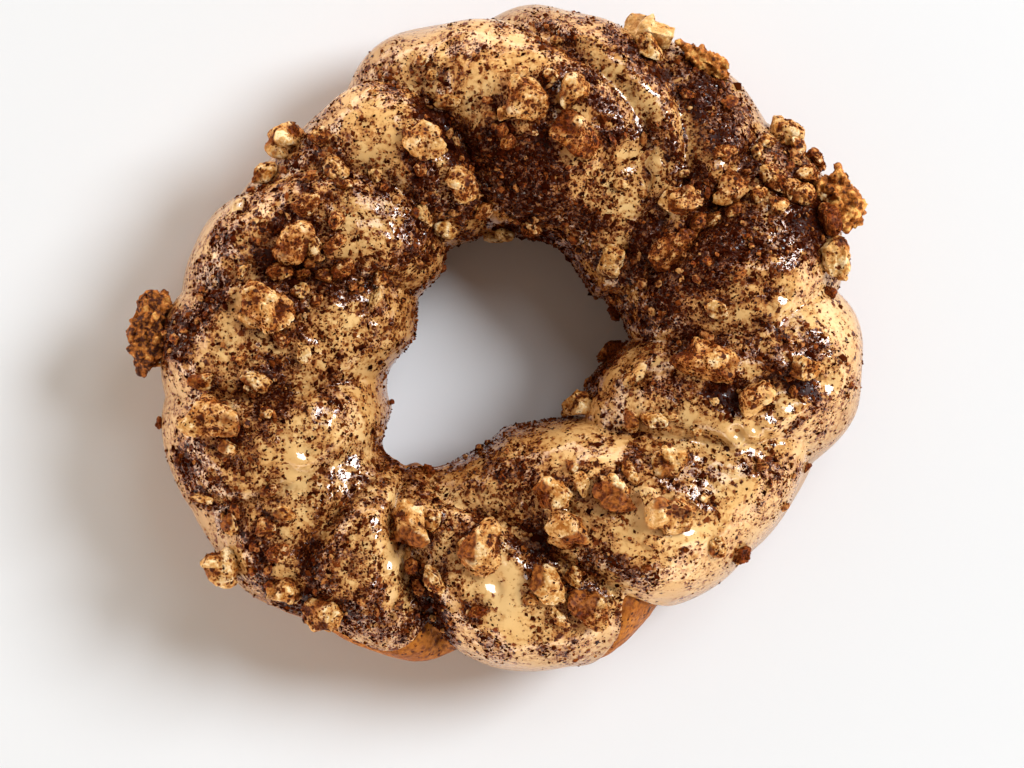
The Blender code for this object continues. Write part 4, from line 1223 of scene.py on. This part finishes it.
def nut_attributes(look, points, middle, sink, seed):
    """Skin, glaze and spice of a nut's points, from what it shows, with painted highlight on its high ridges
    and painted shade in its hollows and low down.
    """
    ways = (points - middle) / np.linalg.norm(points - middle, axis=1)[:, None]
    side = math.radians(look.side)
    toward = np.array((math.cos(side), math.sin(side), 0.5)) / math.hypot(1, 0.5)
    edge = 1 - 2.2 * look.skin
    skin = smooth_step(ways @ toward + 0.25 * waves(points, 1.5, seed + 50.0), edge, edge + 0.15)
    glazed = look.glazed * smooth_step(waves(points, 2.2, seed + 20.0), -0.6, 0.1)
    rise = (points[:, 2] - points[:, 2].min()) / np.ptp(points[:, 2])
    deep = (sink - sink.mean()) / sink.std()
    # Painted shade: darker in the hollows and on the lower part
    hollow = smooth_step(deep, 0.3, 2.0) + 0.7 * (1 - smooth_step(rise, 0.1, 0.6))
    # Painted highlight: lighter on the high parts that stand out
    ridge = smooth_step(-deep, -0.3, 1.2) * smooth_step(rise, 0.35, 0.9)
    # More spice low down and in the hollows: partly spice, partly painted shade there
    dust = NUT_SPICE + look.dust + 0.4 * waves(points, 1.6, seed + 70.0) + 0.3 * (0.5 - rise) + 0.2 * deep
    return {"skin": skin, "glazed": glazed, "dust": np.clip(dust, 0, 1),
            "ridge": np.clip(ridge, 0, 1), "hollow": np.clip(hollow, 0, 1)}


def pixel_ray(x, y):
    """The camera's ray through a pixel."""
    way = Vector(((x - PHOTO_SIZE[0] / 2) / PIXELS, (PHOTO_SIZE[1] / 2 - y) / PIXELS, -1.0))
    return Vector((*CAMERA_OVER, CAMERA_HEIGHT)), way.normalized()


def laid_on(points, bit, ground):
    """A ball's points as one bit of nut, on the glaze where the photograph shows it."""
    start, way = pixel_ray(bit.x, bit.y)
    spot, normal, _, _ = ground.ray_cast(start, way)
    if spot is None:
        spot, normal, _, _ = ground.find_nearest(start + way * (CAMERA_HEIGHT - TUBE_MIDDLE))
    heading = math.radians(bit.heading)
    along = np.array((math.cos(heading), math.sin(heading), 0.0))
    normal = np.array(normal)
    along -= normal * (along @ normal)
    along /= np.linalg.norm(along)
    axes = np.stack((along, np.cross(normal, along), normal))
    size = np.array((bit.length, bit.width, BIT_HEIGHT * bit.width)) / 2 * BIT_SPREAD
    return (points * size) @ axes + np.array(spot) + normal * bit.width * BIT_LIFT


def build_small_nuts(material, ground):
    """The smaller bits of nut that the photograph shows, joined as one mesh."""
    rng = np.random.default_rng(SMALL_NUT_SEED)
    parts, every_value = [], []
    for number, bit in enumerate(SMALL_NUTS):
        points, faces, sink = broken_ball(4 if bit.length > FINE_LENGTH else 3, rng)
        points = laid_on(points, bit, ground)
        every_value.append(nut_attributes(KINDS[bit.kind], points, points.mean(0), sink, number))
        parts.append((points, faces))
    points, faces = joined(parts)
    values = {key: np.concatenate([value[key] for value in every_value]) for key in every_value[0]}
    return new_piece("small_nuts", points, faces, material, "nut", **values)


def build_nut_crumbs(name, surface, weights, bits, detail, material):
    """Scattered crumbs of nut, as one mesh made of a few broken shapes."""
    rng = np.random.default_rng(bits.seed)
    count = bits.count
    places, normals = scatter(surface, weights, count, rng)
    size = bits.radius * np.exp(rng.normal(0.0, 0.35, count))
    sizes = size[:, None] * rng.uniform((0.9, 0.7, 0.6), (1.5, 1.1, 0.9), (count, 3))
    axes = turned_axes(normals, rng)
    kind = rng.integers(0, CRUMB_SHAPES, count)
    parts = []
    for index in range(CRUMB_SHAPES):
        chosen = kind == index
        spots = places[chosen] + normals[chosen] * size[chosen, None] * 0.35
        template = broken_ball(detail, rng)[:2]
        parts.append(copies(template, spots, axes[chosen], sizes[chosen], rng, 0.06))
    points, faces = joined(parts)
    corners = len(ball(detail)[0])
    skin = np.repeat(0.3 * rng.random(count) ** 2, corners)
    glazed = np.repeat(rng.random(count) ** 2, corners)
    dust = np.repeat(rng.uniform(0.45, 1.0, count), corners)
    ridge = np.repeat(0.6 * rng.random(count) ** 2, corners)
    return new_piece(name, points, faces, material, "nut", smooth=False, skin=skin, glazed=glazed,
                     dust=dust, ridge=ridge, hollow=0.4 * (1 - ridge))


def build_crumb(node, material, ground, seed):
    """A lacy cluster of fried crumb in place of its plain solid."""
    rng = np.random.default_rng(seed)
    points, faces, normals = remeshed(node)
    points, _ = crumble(points, normals, rng, *CRUMB_LUMPS)
    points += normals * (0.45 * waves(points, 1.1, seed) + 0.30 * waves(points, 0.5, seed))[:, None]
    tone = smooth_step(waves(points, 1.3, seed + 9.0), -0.1, 0.5) + CRUMB_TONES[node]
    points = seat(points, ground)
    piece = new_piece(f"{node}_fried", points, faces, material, "crumb", tone=tone)
    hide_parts(node)


# ---------------------------------------------------------------- scattered bits

def scatter(surface, weights, count, rng):
    """Random places on a surface, more of them where the weights are high, and their normals."""
    corners = surface.points[surface.faces]
    area = np.linalg.norm(np.cross(corners[:, 1] - corners[:, 0], corners[:, 2] - corners[:, 0]), axis=1)
    chance = area * weights[surface.faces].mean(axis=1)
    chosen = rng.choice(len(chance), count, p=chance / chance.sum())
    first, second = rng.random((2, count))
    turned = first + second > 1
    first, second = np.where(turned, 1 - first, first), np.where(turned, 1 - second, second)
    shares = np.column_stack((1 - first - second, first, second))[:, :, None]
    normals = (surface.normals[surface.faces[chosen]] * shares).sum(axis=1)
    normals /= np.linalg.norm(normals, axis=1)[:, None]
    return (corners[chosen] * shares).sum(axis=1), normals


def joined_surface(pieces):
    """The surfaces of several nuts as one, and how thickly the spice lies on it."""
    surfaces = [surface_of(piece.data) for piece in pieces]
    points, faces = joined([surface[:2] for surface in surfaces])
    whole = Surface(points, faces, np.concatenate([surface.normals for surface in surfaces]))
    dust = np.concatenate([read_attribute(piece, "dust") for piece in pieces])
    return whole, dust ** 1.5 * smooth_step(whole.normals[:, 2], -0.2, 0.4)


def turned_axes(normals, rng):
    """For each normal, three axes with the third along it and the others turned at random."""
    helper = rng.normal(size=normals.shape)
    side = np.cross(normals, helper)
    side /= np.linalg.norm(side, axis=1)[:, None]
    return np.stack((side, np.cross(normals, side), normals), axis=1)


def copies(template, places, axes, sizes, rng, jitter):
    """Many uneven copies of one small shape, as one mesh."""
    shape, faces = template
    count = len(places)
    local = shape[None] * (1 + jitter * rng.uniform(-1, 1, (count, len(shape), 1)))
    local = local * sizes[:, None, :]
    points = np.einsum("nvk,nkd->nvd", local, axes) + places[:, None]
    all_faces = faces[None] + (np.arange(count) * len(shape))[:, None, None]
    return points.reshape(-1, 3), all_faces.reshape(-1, faces.shape[1])


OCTAHEDRON = (
    np.array([(1, 0, 0), (0, 1, 0), (-1, 0, 0), (0, -1, 0), (0, 0, 1), (0, 0, -1)], float),
    np.array([(0, 1, 4), (1, 2, 4), (2, 3, 4), (3, 0, 4), (1, 0, 5), (2, 1, 5), (3, 2, 5), (0, 3, 5)]),
)


def build_spice(name, surface, weights, bits, material):
    """Grains of spice lying half sunk in a surface, as one mesh."""
    rng = np.random.default_rng(bits.seed)
    count = bits.count
    places, normals = scatter(surface, weights, count, rng)
    size = bits.radius * np.exp(rng.normal(0.0, 0.45, count))
    sizes = size[:, None] * rng.uniform((0.8, 0.6, 0.5), (1.5, 1.0, 0.9), (count, 3))
    points, faces = copies(OCTAHEDRON, places + normals * (size * 0.15)[:, None],
                           turned_axes(normals, rng), sizes, rng, 0.35)
    tone = np.repeat(rng.random(count), len(OCTAHEDRON[0]))
    return new_piece(name, points, faces, material, "spice", smooth=False, tone=tone)


# ---------------------------------------------------------------- stage

def build_floor():
    """A wide pale floor, just under the doughnut."""
    bpy.ops.mesh.primitive_plane_add(size=FLOOR_SIZE * MM, location=(0.0, 0.0, -0.1 * MM))
    floor = bpy.context.object
    floor.name = "floor"
    floor.data.materials.append(floor_material())


def build_lamp(name, heading, height, size, power):
    """A soft round lamp that points at the doughnut."""
    toward = Vector(direction(heading, height))
    lamp = bpy.data.lights.new(name, 'AREA')
    lamp.shape = 'DISK'
    lamp.size = size * MM
    lamp.energy = power
    lamp.color = LAMP_COLOUR
    thing = bpy.data.objects.new(name, lamp)
    thing.location = toward * LAMP_DISTANCE * MM
    thing.rotation_euler = toward.to_track_quat('Z', 'Y').to_euler()
    bpy.context.scene.collection.objects.link(thing)


def build_lights():
    """A soft light from the upper right, a weaker one above it, and the sky."""
    build_lamp("key", KEY_HEADING, KEY_HEIGHT, KEY_SIZE, KEY_POWER)
    build_lamp("fill", FILL_HEADING, FILL_HEIGHT, FILL_SIZE, FILL_POWER)
    build_sky()


def build_sky():
    """A sky that is bright at the horizon, and brighter on one side than on the other."""
    world = bpy.data.worlds.new("sky")
    world.use_nodes = True
    tree = world.node_tree
    sky = tree.nodes["Background"]
    sky.inputs["Color"].default_value = (*SKY, 1.0)
    way = tree.nodes.new("ShaderNodeSeparateXYZ")
    place = tree.nodes.new("ShaderNodeTexCoord").outputs["Generated"]
    tree.links.new(place, way.inputs[0])
    fade = tree.nodes.new("ShaderNodeMapRange")
    for socket, value in zip(fade.inputs[1:], (*SKY_FADE, SKY_LOW, SKY_HIGH)):
        socket.default_value = value
    tree.links.new(way.outputs["Z"], fade.inputs[0])
    toward = tree.nodes.new("ShaderNodeVectorMath")
    toward.operation = 'DOT_PRODUCT'
    toward.inputs[1].default_value = tuple(direction(SKY_HEADING, 0.0))
    tree.links.new(place, toward.inputs[0])
    share = tree.nodes.new("ShaderNodeMapRange")
    for socket, value in zip(share.inputs[1:], (-1.0, 1.0, SKY_BEHIND, 1.0)):
        socket.default_value = value
    tree.links.new(toward.outputs["Value"], share.inputs[0])
    strength = tree.nodes.new("ShaderNodeMath")
    strength.operation = 'MULTIPLY'
    tree.links.new(fade.outputs[0], strength.inputs[0])
    tree.links.new(share.outputs[0], strength.inputs[1])
    tree.links.new(strength.outputs[0], sky.inputs["Strength"])
    bpy.context.scene.world = world


def build_camera():
    """A camera that looks straight down, framed as the photograph."""
    lens = bpy.data.cameras.new("camera")
    lens.lens = LENS
    lens.sensor_width = SENSOR
    camera = bpy.data.objects.new("camera", lens)
    camera.location = (CAMERA_OVER[0] * MM, CAMERA_OVER[1] * MM, CAMERA_HEIGHT * MM)
    bpy.context.scene.collection.objects.link(camera)
    bpy.context.scene.camera = camera


def build_nuts_and_crumbs(nut, crumb, ground):
    """The chopped nuts and the crumb clusters in place of their plain solids. It returns the nuts."""
    nuts = []
    for seed, node in enumerate(sorted(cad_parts)):
        if node.startswith("nut_"):
            nuts.append(build_nut(node, nut, ground, seed))
        elif node.startswith("crumb_"):
            build_crumb(node, crumb, ground, seed)
    return nuts


def spice_weights(glaze, top):
    """How thickly the dark and the rust-coloured spice lie at each point of the glaze."""
    dust = read_attribute(glaze, "dust")
    dust[GLAZE_ROWS * GLAZE_COLUMNS:] = 0.0
    clusters = 0.3 + 1.4 * smooth_step(waves(top.points, 0.9, 31.0), -0.1, 0.4)
    rusty = dust ** 1.5 * (1 - 0.7 * smooth_step(dust, 0.8, 1.2))
    return dust ** 2 * clusters, rusty * (1 - 0.8 * read_attribute(glaze, "outside"))


def main():
    """Build everything."""
    bpy.context.scene.view_settings.view_transform = 'Standard'
    build_camera()
    build_lights()
    build_floor()
    build_dough()
    glaze = build_glaze(glaze_material())
    top = surface_of(glaze.data)
    ground = BVHTree.FromPolygons(top.points.tolist(), top.faces.tolist())
    nut = nut_material()
    nuts = build_nuts_and_crumbs(nut, crumb_material(), ground)
    dark = spice_material("dark_spice", *DARK_GRAIN)
    rust = spice_material("rust_spice", *RUST_GRAIN)
    dark_weights, rust_weights = spice_weights(glaze, top)
    build_spice("spice_dark", top, dark_weights, DARK_BITS, dark)
    build_spice("spice_rust", top, rust_weights, RUST_BITS, rust)
    nuts.append(build_small_nuts(nut, ground))
    build_nut_crumbs("nut_crumbs", top, dark_weights, CRUMB_BITS, 2, nut)
    build_nut_crumbs("nut_lumps", top, dark_weights ** 1.5, LUMP_BITS, 3, nut)
    surface, weights = joined_surface(nuts)
    build_spice("spice_on_nuts", surface, weights, BITS_ON_NUTS, rust)



main()
